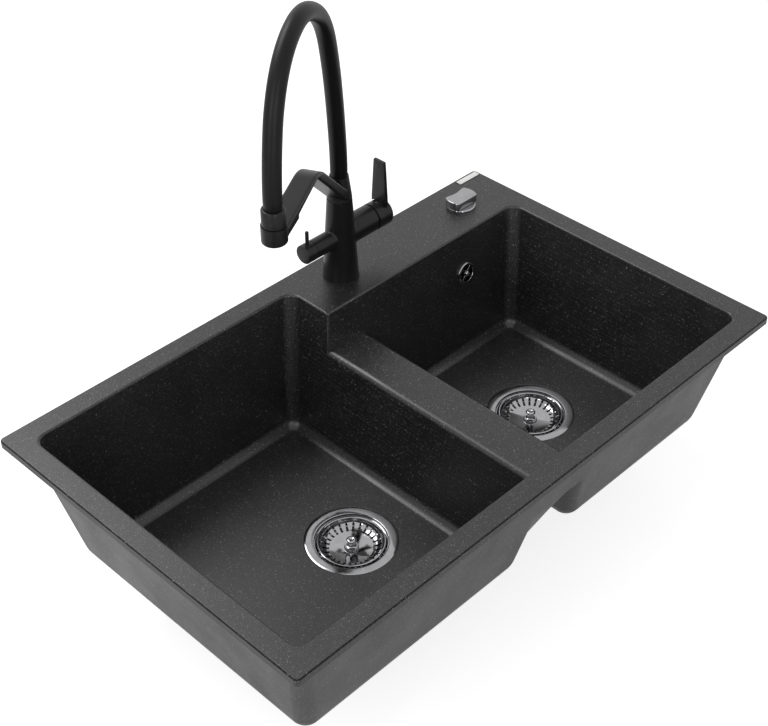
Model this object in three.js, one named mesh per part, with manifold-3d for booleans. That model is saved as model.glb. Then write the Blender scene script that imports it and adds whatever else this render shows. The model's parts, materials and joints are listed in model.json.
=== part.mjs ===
// Double bowl kitchen sink in composite stone, with basket strainer wastes, a
// remote waste control and a deck mixer tap whose soft hose docks in a swivel arm.
//
// Millimetres. X runs along the sink, +Y to the tap side, +Z up. The origin is the
// centre of the rim's underside, which is the surface of the worktop.

import * as THREE from 'three';
import { mergeVertices } from 'three/addons/utils/BufferGeometryUtils.js';
import Module from 'manifold-3d';

const wasm = await Module();
wasm.setup();

// ---------------------------------------------------------------- fits
const GAP = 0.3;                  // between pieces that touch
const OVERCUT = 1;                // how far a cutting tool runs past a face

// ---------------------------------------------------------------- sink body
const SINK_LENGTH = 800;
const SINK_WIDTH = 490;
const RIM_THICKNESS = 10;
const RIM_CORNER = 10;
const RIM_ROUND = 2;
const RIM_LAND = 28;              // flat rim round the bowls
const TAP_DECK = 96;              // deck behind the right bowl
const LEFT_BOWL_LENGTH = 392;
const LEFT_BOWL_DEPTH = 180;      // from the rim's top to the bowl's floor
const RIGHT_BOWL_DEPTH = 170;
const INNER_DRAFT = 0.18;         // mm inwards per mm down
const OUTER_DRAFT = 0.2;
const WALL = 11;                  // at the rim's underside
const FLOOR_THICKNESS = 10;
const INNER_CORNER = 16;
const OUTER_CORNER = 19;
const STEP_CORNER = 4;            // the outside corner where the tap deck juts in
const FLOOR_FILLET = 12;
const OUTER_BOTTOM_ROUND = 28;
const OPENING_ROUND = 3;
const DIVIDER_WIDTH = 44;         // between the bowls, at rim level
const DIVIDER_DROP = 50;          // the divider's crest below the rim's top
const DIVIDER_THICKNESS = 12;
const DIVIDER_LEFT_ROUND = 10;
const DIVIDER_RIGHT_ROUND = 8;
const WEB_HEIGHT = 25;            // web under the divider, between the two shells
const WEB_THICKNESS = 10;
const SEAM_ABOVE_FILLET = 3;      // seam between a bowl's walls and its floor

// ---------------------------------------------------------------- wastes
const LEFT_DRAIN_OFFSET = { x: 65, y: -22 };     // from the middle of the bowl
const RIGHT_DRAIN_OFFSET = { x: -6, y: 3 };
const DRAIN_CLEARANCE = 0.7;        // round the cup in the bowl's floor
const FLANGE_RADIUS = 55.5;
const FLANGE_DEPTH = 3;
const FLANGE_DISH = 0.6;
const FLANGE_SEAL_THICKNESS = 1.4;
const CUP_RADIUS = 44.3;          // outside of the strainer cup
const CUP_THICKNESS = 1.5;
const CUP_DEPTH = 18;
const CUP_OUTLET_RADIUS = 7.5;
const CUP_OUTLET_CIRCLE = 22;
const CUP_OUTLETS = 6;
const BASKET_SIDE_CLEARANCE = 1.8;
const BASKET_LIP = 3.5;
const BASKET_TOP = 1.3;           // below the bowl's floor
const BASKET_SHEET = 1.2;
const BASKET_FLOOR_RADIUS = 27;
const BASKET_FLOOR_CLEARANCE = 4.7; // room under the basket for the stopper and the screw's head
const BASKET_SLOTS = 16;
const BASKET_SLOT_WIDTH = 2.4;
const BASKET_HOLES = 12;
const BASKET_HOLE_RADIUS = 1.7;
const BASKET_HOLE_CIRCLE = 21.5;
const STOPPER_RADIUS = 32;
const STOPPER_CLEARANCE = 0.5;      // round the widest screw head
const BASKET_KNOB_RADIUS = 6.5;
const BASKET_KNOB_TOP = 2;        // above the bowl's floor
const BASKET_KNOB_HEAD = 4.5;
const BASKET_KNOB_STEM = 3;
const BASKET_BOSS_RADIUS = 11.5;
const BASKET_BOSS_HEIGHT = 2.2;
const SCREW_HEAD_HEIGHT = 3.2;
const SCREW_HEAD_STEP = 2.5;      // head radius less shank radius
const LEFT_SCREW_RADIUS = 3;
const RIGHT_SCREW_RADIUS = 5;
const SCREW_END_DEPTH = 60;
const LIFT_PIN_RADIUS = 2.6;
const LIFT_PIN_END_DEPTH = 74;
const BODY_SEAL_THICKNESS = 2.9;
const BODY_FLANGE_WIDTH = 8;
const BODY_FLANGE_THICKNESS = 3.5;
const BODY_CLEARANCE = 3;          // round the cup
const BODY_WALL = 2.7;
const BODY_SHOULDER_DEPTH = 30;
const BODY_CONE_HEIGHT = 20;
const OUTLET_RADIUS = 20.5;
const OUTLET_DEPTH = 84;
const BOSS_WALL = 3.7;
const BOSS_TOP_DEPTH = 44;
const BOSS_RIBS = 3;
const BOSS_RIB_THICKNESS = 2.5;
const OUTLET_NUT_RADIUS = 27;
const OUTLET_NUT_HEIGHT = 16;
const OUTLET_NUT_SIDES = 10;
const OUTLET_NUT_SETBACK = 2;     // from the outlet pipe's end
const SPIGOT_RADIUS = 9;
const SPIGOT_BORE = 7;
const SPIGOT_REACH = 64;          // from the waste's axis
const SPIGOT_DEPTH = 24;
const GLAND_RADIUS = 5;
const GLAND_REACH = 34;
const GLAND_RISE = 27;             // above the outlet pipe's end

// ---------------------------------------------------------------- overflow
const OVERFLOW_SETBACK = 105;      // from the right end of the opening
const OVERFLOW_DROP = 58;         // below the rim's top
const OVERFLOW_HOLE_RADIUS = 13;
const OVERFLOW_RING_RADIUS = 15.5;
const OVERFLOW_RING_THICKNESS = 2.6;
const OVERFLOW_RING_WIDTH = 4.3;
const OVERFLOW_BAR_WIDTH = 3.4;
const OVERFLOW_HUB_RADIUS = 4.4;
const OVERFLOW_TUBE_LENGTH = 8;
const OVERFLOW_SCREW_RADIUS = 2;
const OVERFLOW_SCREW_HEAD = 3.4;
const OVERFLOW_SCREW_LENGTH = 32;
const OVERFLOW_SEAL_THICKNESS = 2;
const ELBOW_FLANGE_RADIUS = 19;
const ELBOW_FLANGE_THICKNESS = 3;
const ELBOW_RADIUS = 14;
const ELBOW_HEIGHT = 22;
const ELBOW_WALL = 2;
const ELBOW_SPIGOT_REACH = 34;

// ---------------------------------------------------------------- waste control
const DECK_HOLE_RADIUS = 17.5;    // both holes in the tap deck
const DECK_HOLE_CLEARANCE = 1.5;  // round the tubes in them
const DECK_HOLE_SETBACK = 48;     // hole centres from the sink's back edge
const CONTROL_SETBACK = 81;       // from the sink's right end
const KNOB_RADIUS = 20.5;
const KNOB_HALF_WIDTH = 12;
const KNOB_HOLLOW = 1.4;          // how far the back grip is drawn in
const KNOB_TOP = 15;
const KNOB_ROUND = 1.2;
const SLEEVE_FLANGE_RADIUS = 21;
const SLEEVE_FLANGE_THICKNESS = 2.7;
const SLEEVE_LENGTH = 35;         // below the deck's top
const SLEEVE_WALL = 3;
const SLEEVE_BRIDGE = 6;          // solid neck round the shaft
const KNOB_SHAFT_RADIUS = 5;
const DRUM_THICKNESS = 10;
const CONTROL_CAP_THICKNESS = 5;
const CONTROL_NUT_RADIUS = 23;
const CONTROL_NUT_HEIGHT = 8;
const CONTROL_WASHER_RADIUS = 24;
const CONTROL_WASHER_THICKNESS = 2;

// ---------------------------------------------------------------- tap, heights from the deck's top
const TAP_OFFSET = 70;            // from the left bowl's right side
const TAP_SEAL_THICKNESS = 1;
const COLUMN_BASE_RADIUS = 23.2;
const COLUMN_MIDDLE_RADIUS = 19.8;
const COLUMN_MIDDLE_HEIGHT = 60;
const COLUMN_TOP_RADIUS = 16;
const COLUMN_TOP_HEIGHT = 118;
const COLUMN_BORE_RADIUS = 10;
const SWIVEL_LENGTH = 20;         // the swivel spigot on the column
const SPIGOT_OUTER_RADIUS = 11;
const SPIGOT_INNER_RADIUS = 7;
const SLIP_RING_THICKNESS = 1;
const VALVE_HEIGHT = 62.5;        // both valves' common axis
const MIXER_RADIUS = 18;
const MIXER_REACH = 52;
const MIXER_BORE_RADIUS = 14.5;
const CARTRIDGE_LENGTH = 23;
const CARTRIDGE_RING_THICKNESS = 5;
const CARTRIDGE_RECESS = 1.4;     // the ring lies this deep in the housing
const SPINDLE_RADIUS = 4;
const SPINDLE_IN_CARTRIDGE = 9;
const SPINDLE_IN_HUB = 9;
const HUB_LENGTH = 27;
const HUB_ROUND = 3;
const LEVER_INSET = 8.3;          // the blade's plane, from the hub's end
const LEVER_THICKNESS = 4;
const LEVER_FOOT_WIDTH = 26;
const LEVER_TOP_WIDTH = 18.4;
const LEVER_TOP_HEIGHT = 140;
const LEVER_TANG_WIDTH = 14;
const LEVER_BARREL_RADIUS = 4.6;
const LEVER_SWING = 15;           // degrees, outwards
const LEVER_PIN_RADIUS = 1.8;
const GRUB_OFFSET = 6.6;          // from the blade's plane
const GRUB_RADIUS = 2;
const GRUB_LENGTH = 10;
const FILTER_RADIUS = 12.5;
const FILTER_REACH = 48;
const FILTER_BORE_RADIUS = 9;
const FILTER_BORE_DEPTH = 28;
const FILTER_HUB_LENGTH = 16;
const FILTER_SPINDLE_RADIUS = 3.5;
const FILTER_LEVER_INSET = 8.2;   // from the inner end of the hub
const FILTER_LEVER_RADIUS = 2;
const FILTER_LEVER_TOP = 94;
const SHANK_WALL = 4;
const SHANK_LENGTH = 60;          // below the deck's top
const SHANK_SOCKET = 15;
const TAP_WASHER_RADIUS = 24;
const TAP_RUBBER_THICKNESS = 2.5;
const TAP_STEEL_THICKNESS = 1.5;
const TAP_NUT_RADIUS = 22;
const TAP_NUT_HEIGHT = 10;
const INLET_BLOCK_HEIGHT = 8;
const INLET_RADIUS = 4;
const INLET_BORE = 2.2;
const INLET_CIRCLE = 6.6;
const INLET_LENGTH = 16;
const INLETS = 3;                 // hot, cold and filtered water

// ---------------------------------------------------------------- spout, in its own turned frame
const SPOUT_TURN = 208;           // degrees round +Z from +X to where the spout points
const SPOUT_REACH = 226;
const COLLAR_LENGTH = 30.4;
const COLLAR_TOP_RADIUS = 12;
const ARM_WIDTH = 27;
const ARM_TOP_HEIGHT = 215;
const ARM_THICKNESS = 6;
const ARM_NECK_THICKNESS = 7;
const ARM_RISE = 42;              // degrees
const ARM_ROOT_DROP = 21.4;       // the sloping top at the tap's axis, below the collar's top
const ARM_EDGE_ROUND = 2.2;
const DOCK_BLOCK_LENGTH = 46;     // the thicker end of the arm
const DOCK_BLOCK_RISE = 3;        // its underside above the dock's mouth
const DOCK_RADIUS = 15;
const DOCK_LENGTH = 22;
const DOCK_LIP = 7;               // the dock's top above the arm's top
const DOCK_BORE_RADIUS = 12.3;
const NOZZLE_RADIUS = 13.8;
const NOZZLE_BARREL_LENGTH = 20.7;  // the part that stands on the dock
const NOZZLE_BORE_RADIUS = 9.6;
const AERATOR_THICKNESS = 5;
const HOSE_RADIUS = 10.85;
const HOSE_SIDES = 12;
const HOSE_STEPS = 46;
// The hose's centre line in the spout's plane, as distance and height: the rising half from the
// collar's top, the falling half from the nozzle's top.
const HOSE_RISE = [
  [0, 12], [1, 34], [5, 70], [12, 116], [22, 162], [38, 209], [57, 236], [79, 253],
];
const HOSE_FALL = [
  [-122, 170.5], [-98, 172.5], [-74, 166.5], [-53, 155], [-33, 135], [-17, 106], [-8, 74],
  [-2, 38], [0, 12],
];

// ---------------------------------------------------------------- name plate, left blank
const PLATE_LENGTH = 39;
const PLATE_WIDTH = 9;
const PLATE_THICKNESS = 0.6;
const PLATE_SIDE_MARGIN = 4;
const PLATE_BACK_MARGIN = 4.5;
const PLATE_CORNER = 1;

// ---------------------------------------------------------------- facets
const FINE_SIDES = 32;
const ROUND_SIDES = 20;
const HIDDEN_SIDES = 16;          // seals and rings inside the wastes
const SMALL_SIDES = 12;
const GRUB_SIDES = 8;
const CORNER_STEPS = 5;
const SMALL_CORNER_STEPS = 3;

const degrees = THREE.MathUtils.degToRad;

// ================================================================ shape helpers

/** Welds shared vertices and drops triangles that have no area. */
function weld(geometry) {
  const bare = geometry.clone();
  bare.deleteAttribute('normal');
  bare.deleteAttribute('uv');
  const merged = mergeVertices(bare, 1e-4);
  const index = merged.index.array;
  const kept = [];
  for (let i = 0; i < index.length; i += 3) {
    const [a, b, c] = index.subarray(i, i + 3);
    if (a !== b && b !== c && c !== a) kept.push(a, b, c);
  }
  merged.setIndex(kept);
  return merged;
}

/** Turns a closed geometry into a solid that can be joined and cut. */
function toSolid(geometry) {
  const welded = weld(geometry);
  const mesh = new wasm.Mesh({
    numProp: 3,
    vertProperties: new Float32Array(welded.attributes.position.array),
    triVerts: new Uint32Array(welded.index.array),
  });
  return new wasm.Manifold(mesh);
}

/** Turns a solid back into a geometry. */
function toGeometry(solid) {
  const mesh = solid.getMesh();
  const geometry = new THREE.BufferGeometry();
  geometry.setAttribute('position', new THREE.BufferAttribute(new Float32Array(mesh.vertProperties), 3));
  geometry.setIndex(new THREE.BufferAttribute(new Uint32Array(mesh.triVerts), 1));
  return geometry;
}

/** Joins closed geometries into one. */
function join(...geometries) {
  const solids = geometries.map(toSolid);
  return toGeometry(solids.reduce((whole, next) => whole.add(next)));
}

/** Cuts every tool out of a closed geometry. */
function cut(base, ...tools) {
  return toGeometry(tools.map(toSolid).reduce((whole, tool) => whole.subtract(tool), toSolid(base)));
}

/** Keeps what two closed geometries share. */
function common(first, second) {
  return toGeometry(toSolid(first).intersect(toSolid(second)));
}

/** Keeps what lies past a plane, on the side that its normal points to. */
function past(geometry, point, normal) {
  const direction = new THREE.Vector3(...normal).normalize();
  const distance = direction.dot(new THREE.Vector3(...point));
  return toGeometry(toSolid(geometry).trimByPlane(direction.toArray(), distance));
}

/** A body of revolution about Z from a profile of [radius, height] pairs. */
function turned(profile, sides) {
  let area = 0;
  profile.forEach(([r, z], i) => {
    const [nextR, nextZ] = profile[(i + 1) % profile.length];
    area += r * nextZ - nextR * z;
  });
  const points = area > 0 ? [...profile] : [...profile].reverse();
  const onAxis = points[0][0] === 0 && points[points.length - 1][0] === 0;
  if (!onAxis) points.push(points[0]);
  const vectors = points.map(([r, z]) => new THREE.Vector2(r, z));
  return weld(new THREE.LatheGeometry(vectors, sides)).rotateX(Math.PI / 2);
}

/** A plain round bar or disc about Z. */
function disc(radius, bottom, top, sides) {
  return turned([[0, bottom], [radius, bottom], [radius, top], [0, top]], sides);
}

/** A flat ring about Z. */
function ring(inner, outer, bottom, top, sides) {
  return turned([[inner, bottom], [outer, bottom], [outer, top], [inner, top]], sides);
}

/** A geometry about Z laid along +X. */
function alongX(geometry) {
  return geometry.rotateY(Math.PI / 2);
}

/** Rounds each corner of a closed outline; radii is one number or one for each corner. */
function rounded(corners, radii, steps) {
  const outline = [];
  corners.forEach(([x, y], i) => {
    const radius = Array.isArray(radii) ? radii[i] : radii;
    const corner = new THREE.Vector2(x, y);
    const before = new THREE.Vector2(...corners[(i + corners.length - 1) % corners.length]);
    const after = new THREE.Vector2(...corners[(i + 1) % corners.length]);
    const toBefore = before.sub(corner).normalize();
    const toAfter = after.sub(corner).normalize();
    const angle = Math.acos(toBefore.dot(toAfter));
    if (!radius) {
      outline.push([x, y]);
      return;
    }
    const bisector = toBefore.clone().add(toAfter).normalize();
    const centre = bisector.multiplyScalar(radius / Math.sin(angle / 2)).add(corner);
    const tangent = radius / Math.tan(angle / 2);
    const start = toBefore.multiplyScalar(tangent).add(corner).sub(centre);
    const end = toAfter.multiplyScalar(tangent).add(corner).sub(centre);
    const turn = Math.PI - angle;
    for (let k = 0; k <= steps; k += 1) {
      const first = Math.sin((1 - k / steps) * turn) / Math.sin(turn);
      const second = Math.sin((k / steps) * turn) / Math.sin(turn);
      outline.push([
        centre.x + first * start.x + second * end.x,
        centre.y + first * start.y + second * end.y,
      ]);
    }
  });
  return outline;
}

/** The corners of a rectangle, anticlockwise. */
function rectangle(left, right, front, back) {
  return [[left, front], [right, front], [right, back], [left, back]];
}

/** A solid through level outlines with equal numbers of points, from the lowest up. */
function loft(levels) {
  const count = levels[0].outline.length;
  const positions = levels.flatMap(({ outline, z }) => outline.flatMap(([x, y]) => [x, y, z]));
  const indices = [];
  for (let level = 0; level + 1 < levels.length; level += 1) {
    for (let k = 0; k < count; k += 1) {
      const low = level * count + k;
      const lowNext = level * count + ((k + 1) % count);
      indices.push(low, lowNext, lowNext + count, low, lowNext + count, low + count);
    }
  }
  const last = (levels.length - 1) * count;
  capFaces(levels[0].outline).forEach(([a, b, c]) => indices.push(c, b, a));
  capFaces(levels[levels.length - 1].outline).forEach(([a, b, c]) => {
    indices.push(last + a, last + b, last + c);
  });
  const geometry = new THREE.BufferGeometry();
  geometry.setAttribute('position', new THREE.Float32BufferAttribute(positions, 3));
  geometry.setIndex(indices);
  return geometry;
}

/** Triangles that fill an outline, all anticlockwise. */
function capFaces(outline) {
  const contour = outline.map(([x, y]) => new THREE.Vector2(x, y));
  return THREE.ShapeUtils.triangulateShape(contour, []).map(([a, b, c]) => {
    const area = contour[b].clone().sub(contour[a]).cross(contour[c].clone().sub(contour[a]));
    return area > 0 ? [a, b, c] : [a, c, b];
  });
}

/** An outline raised along Z, with optional holes and an optional rounded edge. */
function prism(outline, bottom, top, { holes = [], round = 0 } = {}) {
  const shape = new THREE.Shape(outline.map(([x, y]) => new THREE.Vector2(x, y)));
  holes.forEach((hole) => {
    shape.holes.push(new THREE.Path(hole.map(([x, y]) => new THREE.Vector2(x, y))));
  });
  const geometry = new THREE.ExtrudeGeometry(shape, {
    depth: top - bottom - 2 * round,
    bevelEnabled: round > 0,
    bevelSize: round,
    bevelThickness: round,
    bevelOffset: -round,
    bevelSegments: 2,
  });
  return geometry.translate(0, 0, bottom + round);
}

/** The points of a circle or regular polygon, anticlockwise. */
function circle(radius, sides) {
  return Array.from({ length: sides }, (_, k) => {
    const angle = (2 * Math.PI * (k + 0.5)) / sides;
    return [radius * Math.cos(angle), radius * Math.sin(angle)];
  });
}

/** Copies of a geometry spaced evenly round Z. */
function roundZ(geometry, count) {
  return Array.from({ length: count }, (_, k) => geometry.clone().rotateZ((2 * Math.PI * k) / count));
}

// ================================================================ materials

const finish = (color, roughness, metalness) => (
  new THREE.MeshStandardMaterial({ color, roughness, metalness })
);
const MATERIALS = {
  stone: finish(0x3a3a3c, 0.75, 0),
  black: finish(0x1a1a1c, 0.5, 0.3),
  hose: finish(0x151517, 0.6, 0),
  gunmetal: finish(0x4a4a4c, 0.25, 1),
  chrome: finish(0xb8babd, 0.12, 1),
  steel: finish(0xa8aaad, 0.35, 1),
  brass: finish(0xb59b56, 0.35, 1),
  rubber: finish(0x141414, 0.85, 0),
  plastic: finish(0x26262a, 0.55, 0),
  ceramic: finish(0xe2e0da, 0.4, 0),
  plate: finish(0xf0f0ee, 0.35, 0),
};

/** A named mesh. */
function piece(name, geometry, material) {
  const mesh = new THREE.Mesh(weld(geometry), material);
  mesh.name = name;
  return mesh;
}

// ================================================================ sink body

const BACK = SINK_WIDTH / 2;
const OPENING = {
  left: -SINK_LENGTH / 2 + RIM_LAND,
  right: SINK_LENGTH / 2 - RIM_LAND,
  front: -BACK + RIM_LAND,
  back: BACK - RIM_LAND,
  deckFront: BACK - TAP_DECK,
};
const LEFT_BOWL = {
  left: OPENING.left,
  right: OPENING.left + LEFT_BOWL_LENGTH,
  front: OPENING.front,
  back: OPENING.back,
  floor: RIM_THICKNESS - LEFT_BOWL_DEPTH,
};
const RIGHT_BOWL = {
  left: LEFT_BOWL.right + DIVIDER_WIDTH,
  right: OPENING.right,
  front: OPENING.front,
  back: OPENING.deckFront,
  floor: RIM_THICKNESS - RIGHT_BOWL_DEPTH,
};
const DIVIDER_TOP = RIM_THICKNESS - DIVIDER_DROP;
const DECK_HOLE_Y = BACK - DECK_HOLE_SETBACK;
const TAP_X = LEFT_BOWL.right + TAP_OFFSET;
const CONTROL_X = SINK_LENGTH / 2 - CONTROL_SETBACK;
const OVERFLOW_X = OPENING.right - OVERFLOW_SETBACK;

/** A place in a bowl's floor, from the middle of the bowl. */
const inBowl = (bowl, offset) => ({
  x: (bowl.left + bowl.right) / 2 + offset.x,
  y: (bowl.front + bowl.back) / 2 + offset.y,
});
const LEFT_DRAIN = inBowl(LEFT_BOWL, LEFT_DRAIN_OFFSET);
const RIGHT_DRAIN = inBowl(RIGHT_BOWL, RIGHT_DRAIN_OFFSET);

/** How far the bowls' inner walls have come in at a height. */
const innerInset = (z) => INNER_DRAFT * (RIM_THICKNESS - z);

/** How far the shells' outer faces lie outside the opening at a height. */
const outerOffset = (z) => WALL - innerInset(0) + OUTER_DRAFT * z;

/** A rectangle drawn in on all sides. */
function inset({ left, right, front, back }, distance) {
  return rectangle(left + distance, right - distance, front + distance, back - distance);
}

/** The L-shaped opening in the rim, drawn in on all sides. */
function openingOutline(distance) {
  const corners = [
    [OPENING.left + distance, OPENING.front + distance],
    [OPENING.right - distance, OPENING.front + distance],
    [OPENING.right - distance, OPENING.deckFront - distance],
    [LEFT_BOWL.right - distance, OPENING.deckFront - distance],
    [LEFT_BOWL.right - distance, OPENING.back - distance],
    [OPENING.left + distance, OPENING.back - distance],
  ];
  const radii = corners.map((_, i) => (i === 3 ? STEP_CORNER : INNER_CORNER));
  return rounded(corners, radii, CORNER_STEPS);
}

/** The rim slab with its rounded top edge. */
function rimSlab() {
  const plan = { left: -SINK_LENGTH / 2, right: SINK_LENGTH / 2, front: -BACK, back: BACK };
  const level = (distance, z) => ({
    outline: rounded(inset(plan, distance), RIM_CORNER - distance, CORNER_STEPS),
    z,
  });
  const levels = [level(0, 0)];
  for (let k = 0; k <= SMALL_CORNER_STEPS; k += 1) {
    const angle = (Math.PI / 2) * (k / SMALL_CORNER_STEPS);
    levels.push(level(
      RIM_ROUND * (1 - Math.cos(angle)),
      RIM_THICKNESS - RIM_ROUND * (1 - Math.sin(angle)),
    ));
  }
  return loft(levels);
}

/** One level of a bowl's rounded outline, drawn in on all sides. */
function bowlLevel(bowl, distance, corner, z) {
  return { outline: rounded(inset(bowl, distance), corner, CORNER_STEPS), z };
}

/** The outside of one bowl's shell, up into the rim. */
function outerShell(bowl) {
  const bottom = bowl.floor - FLOOR_THICKNESS;
  const levels = [];
  for (let k = 0; k < CORNER_STEPS; k += 1) {
    const angle = (Math.PI / 2) * (k / CORNER_STEPS);
    const z = bottom + OUTER_BOTTOM_ROUND * (1 - Math.cos(angle));
    const drawnIn = OUTER_BOTTOM_ROUND * (1 - Math.sin(angle));
    const corner = Math.max(OUTER_CORNER - drawnIn, OUTER_CORNER / 4);
    levels.push(bowlLevel(bowl, drawnIn - outerOffset(z), corner, z));
  }
  const bottomCurveTop = bottom + OUTER_BOTTOM_ROUND;
  const insideRim = RIM_THICKNESS / 2;
  levels.push(bowlLevel(bowl, -outerOffset(bottomCurveTop), OUTER_CORNER, bottomCurveTop));
  levels.push(bowlLevel(bowl, -outerOffset(insideRim), OUTER_CORNER, insideRim));
  return loft(levels);
}

/** The hollow of one bowl, from its floor fillet up to just above the divider's crest. */
function bowlHollow(bowl) {
  const levels = [];
  for (let k = 0; k < SMALL_CORNER_STEPS + 1; k += 1) {
    const angle = (Math.PI / 2) * (k / (SMALL_CORNER_STEPS + 1));
    const z = bowl.floor + FLOOR_FILLET * (1 - Math.cos(angle));
    const drawnIn = FLOOR_FILLET * (1 - Math.sin(angle));
    levels.push(bowlLevel(bowl, innerInset(z) + drawnIn, INNER_CORNER - drawnIn, z));
  }
  const wallBottom = bowl.floor + FLOOR_FILLET;
  const top = DIVIDER_TOP + OVERCUT;
  levels.push(bowlLevel(bowl, innerInset(wallBottom), INNER_CORNER, wallBottom));
  levels.push(bowlLevel(bowl, innerInset(top), INNER_CORNER, top));
  return loft(levels);
}

/** Both bowls' shared hollow above the divider, flared at the rim. */
function upperHollow() {
  const bottom = DIVIDER_TOP - 2 * Math.max(DIVIDER_LEFT_ROUND, DIVIDER_RIGHT_ROUND);
  const levels = [{ outline: openingOutline(innerInset(bottom)), z: bottom }];
  for (let k = 0; k <= SMALL_CORNER_STEPS; k += 1) {
    const angle = (Math.PI / 2) * (k / SMALL_CORNER_STEPS);
    const z = RIM_THICKNESS - OPENING_ROUND * (1 - Math.sin(angle));
    const flare = OPENING_ROUND * (1 - Math.cos(angle));
    levels.push({ outline: openingOutline(innerInset(RIM_THICKNESS - OPENING_ROUND) - flare), z });
  }
  levels.push({ outline: openingOutline(innerInset(RIM_THICKNESS - OPENING_ROUND) - OPENING_ROUND),
    z: RIM_THICKNESS + OVERCUT });
  return common(loft(levels), aboveDivider());
}

/** Everything above the divider's rounded crest, as a bar along Y. */
function aboveDivider() {
  const far = SINK_LENGTH;
  const low = DIVIDER_TOP - 4 * DIVIDER_LEFT_ROUND;
  const leftWall = (z) => LEFT_BOWL.right - innerInset(z);
  const rightWall = (z) => RIGHT_BOWL.left + innerInset(z);
  const corners = [
    [leftWall(DIVIDER_TOP), DIVIDER_TOP],
    [rightWall(DIVIDER_TOP), DIVIDER_TOP],
    [rightWall(low), low],
    [far, low],
    [far, RIM_THICKNESS + 2 * OVERCUT],
    [-far, RIM_THICKNESS + 2 * OVERCUT],
    [-far, low],
    [leftWall(low), low],
  ];
  const radii = [DIVIDER_LEFT_ROUND, DIVIDER_RIGHT_ROUND, 0, 0, 0, 0, 0, 0];
  const profile = rounded(corners, radii, CORNER_STEPS);
  return prism(profile, -SINK_WIDTH, SINK_WIDTH).rotateX(Math.PI / 2);
}

/** A block between the shells, whose ends lie inside their walls. */
function bridge(frontAt, backAt, bottom, top) {
  const level = (z) => ({
    outline: rectangle(
      LEFT_BOWL.right - innerInset(z) + WALL / 2,
      RIGHT_BOWL.left + innerInset(z) - WALL / 2,
      frontAt(z),
      backAt(z),
    ),
    z,
  });
  return loft([level(bottom), level(top)]);
}

/** The divider's bar and the webs in front and behind that tie the shells together. */
function dividerBlocks() {
  const front = (z) => RIGHT_BOWL.front - outerOffset(z);
  const back = (z) => RIGHT_BOWL.back + outerOffset(z);
  const underside = DIVIDER_TOP - DIVIDER_THICKNESS;
  const webBottom = underside - WEB_HEIGHT;
  const top = RIM_THICKNESS / 2;
  return [
    bridge(front, back, underside, top),
    bridge(front, (z) => front(z) + WEB_THICKNESS, webBottom, top),
    bridge((z) => back(z) - WEB_THICKNESS, back, webBottom, top),
  ];
}

/** The hole and the recess for one waste. */
function drainTool({ x, y }, floor) {
  const recess = FLANGE_DEPTH + FLANGE_SEAL_THICKNESS + 2 * GAP;
  const recessRadius = FLANGE_RADIUS + 5 * GAP;
  return turned([
    [0, -FLOOR_THICKNESS - OVERCUT],
    [DRAIN_HOLE_RADIUS, -FLOOR_THICKNESS - OVERCUT],
    [DRAIN_HOLE_RADIUS, -recess],
    [recessRadius, -recess],
    [recessRadius, OVERCUT],
    [0, OVERCUT],
  ], FINE_SIDES).translate(x, y, floor);
}

/** A through hole in the tap deck. */
function deckHoleTool(x) {
  return disc(DECK_HOLE_RADIUS, -OVERCUT, RIM_THICKNESS + OVERCUT, ROUND_SIDES).translate(x, DECK_HOLE_Y, 0);
}

/** The slope of a drafted wall, in degrees from upright. */
const lean = (draft) => THREE.MathUtils.radToDeg(Math.atan(draft));

/** Where the overflow's axis meets the right bowl's back wall, inside and outside. */
function overflowSeats() {
  const z = RIM_THICKNESS - OVERFLOW_DROP;
  const inside = new THREE.Vector3(OVERFLOW_X, RIGHT_BOWL.back - innerInset(z), z);
  const outerAtRim = RIGHT_BOWL.back + outerOffset(0);
  const travel = (outerAtRim + OUTER_DRAFT * z - inside.y) / (1 + OUTER_DRAFT * INNER_DRAFT);
  const outside = new THREE.Vector3(OVERFLOW_X, inside.y + travel, z - INNER_DRAFT * travel);
  return { inside, outside };
}

/** Tips a frame so that its +Z looks into the right bowl from the back wall. */
function facingBowl(object) {
  object.rotation.x = degrees(90 - lean(INNER_DRAFT));
  object.position.copy(overflowSeats().inside);
  return object;
}

/** Tips a frame so that its +Z looks out of the back wall, with its +Y downwards. */
function facingBack(object) {
  object.rotation.x = -degrees(90 + lean(OUTER_DRAFT));
  object.position.copy(overflowSeats().outside);
  return object;
}

/** The hole through the back wall for the overflow. */
function overflowTool() {
  const frame = facingBowl(new THREE.Object3D());
  frame.updateMatrix();
  return disc(OVERFLOW_HOLE_RADIUS, -2 * WALL, WALL, ROUND_SIDES).applyMatrix4(frame.matrix);
}

/** The whole moulding. */
function sinkBody() {
  const block = join(rimSlab(), outerShell(LEFT_BOWL), outerShell(RIGHT_BOWL), ...dividerBlocks());
  const hollow = join(bowlHollow(LEFT_BOWL), bowlHollow(RIGHT_BOWL), upperHollow());
  return cut(
    block,
    hollow,
    drainTool(LEFT_DRAIN, LEFT_BOWL.floor),
    drainTool(RIGHT_DRAIN, RIGHT_BOWL.floor),
    deckHoleTool(TAP_X),
    deckHoleTool(CONTROL_X),
    overflowTool(),
  );
}

/** A bowl's walls and its floor, which meet at a level seam just above the floor's fillet. */
function bowlPieces(side, shell, floor) {
  const seam = floor + FLOOR_FILLET + SEAM_ABOVE_FILLET;
  return [
    piece(`${side}_bowl_walls`, past(shell, [0, 0, seam], [0, 0, 1]), MATERIALS.stone),
    piece(`${side}_bowl_floor`, past(shell, [0, 0, seam - GAP], [0, 0, -1]), MATERIALS.stone),
  ];
}

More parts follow.
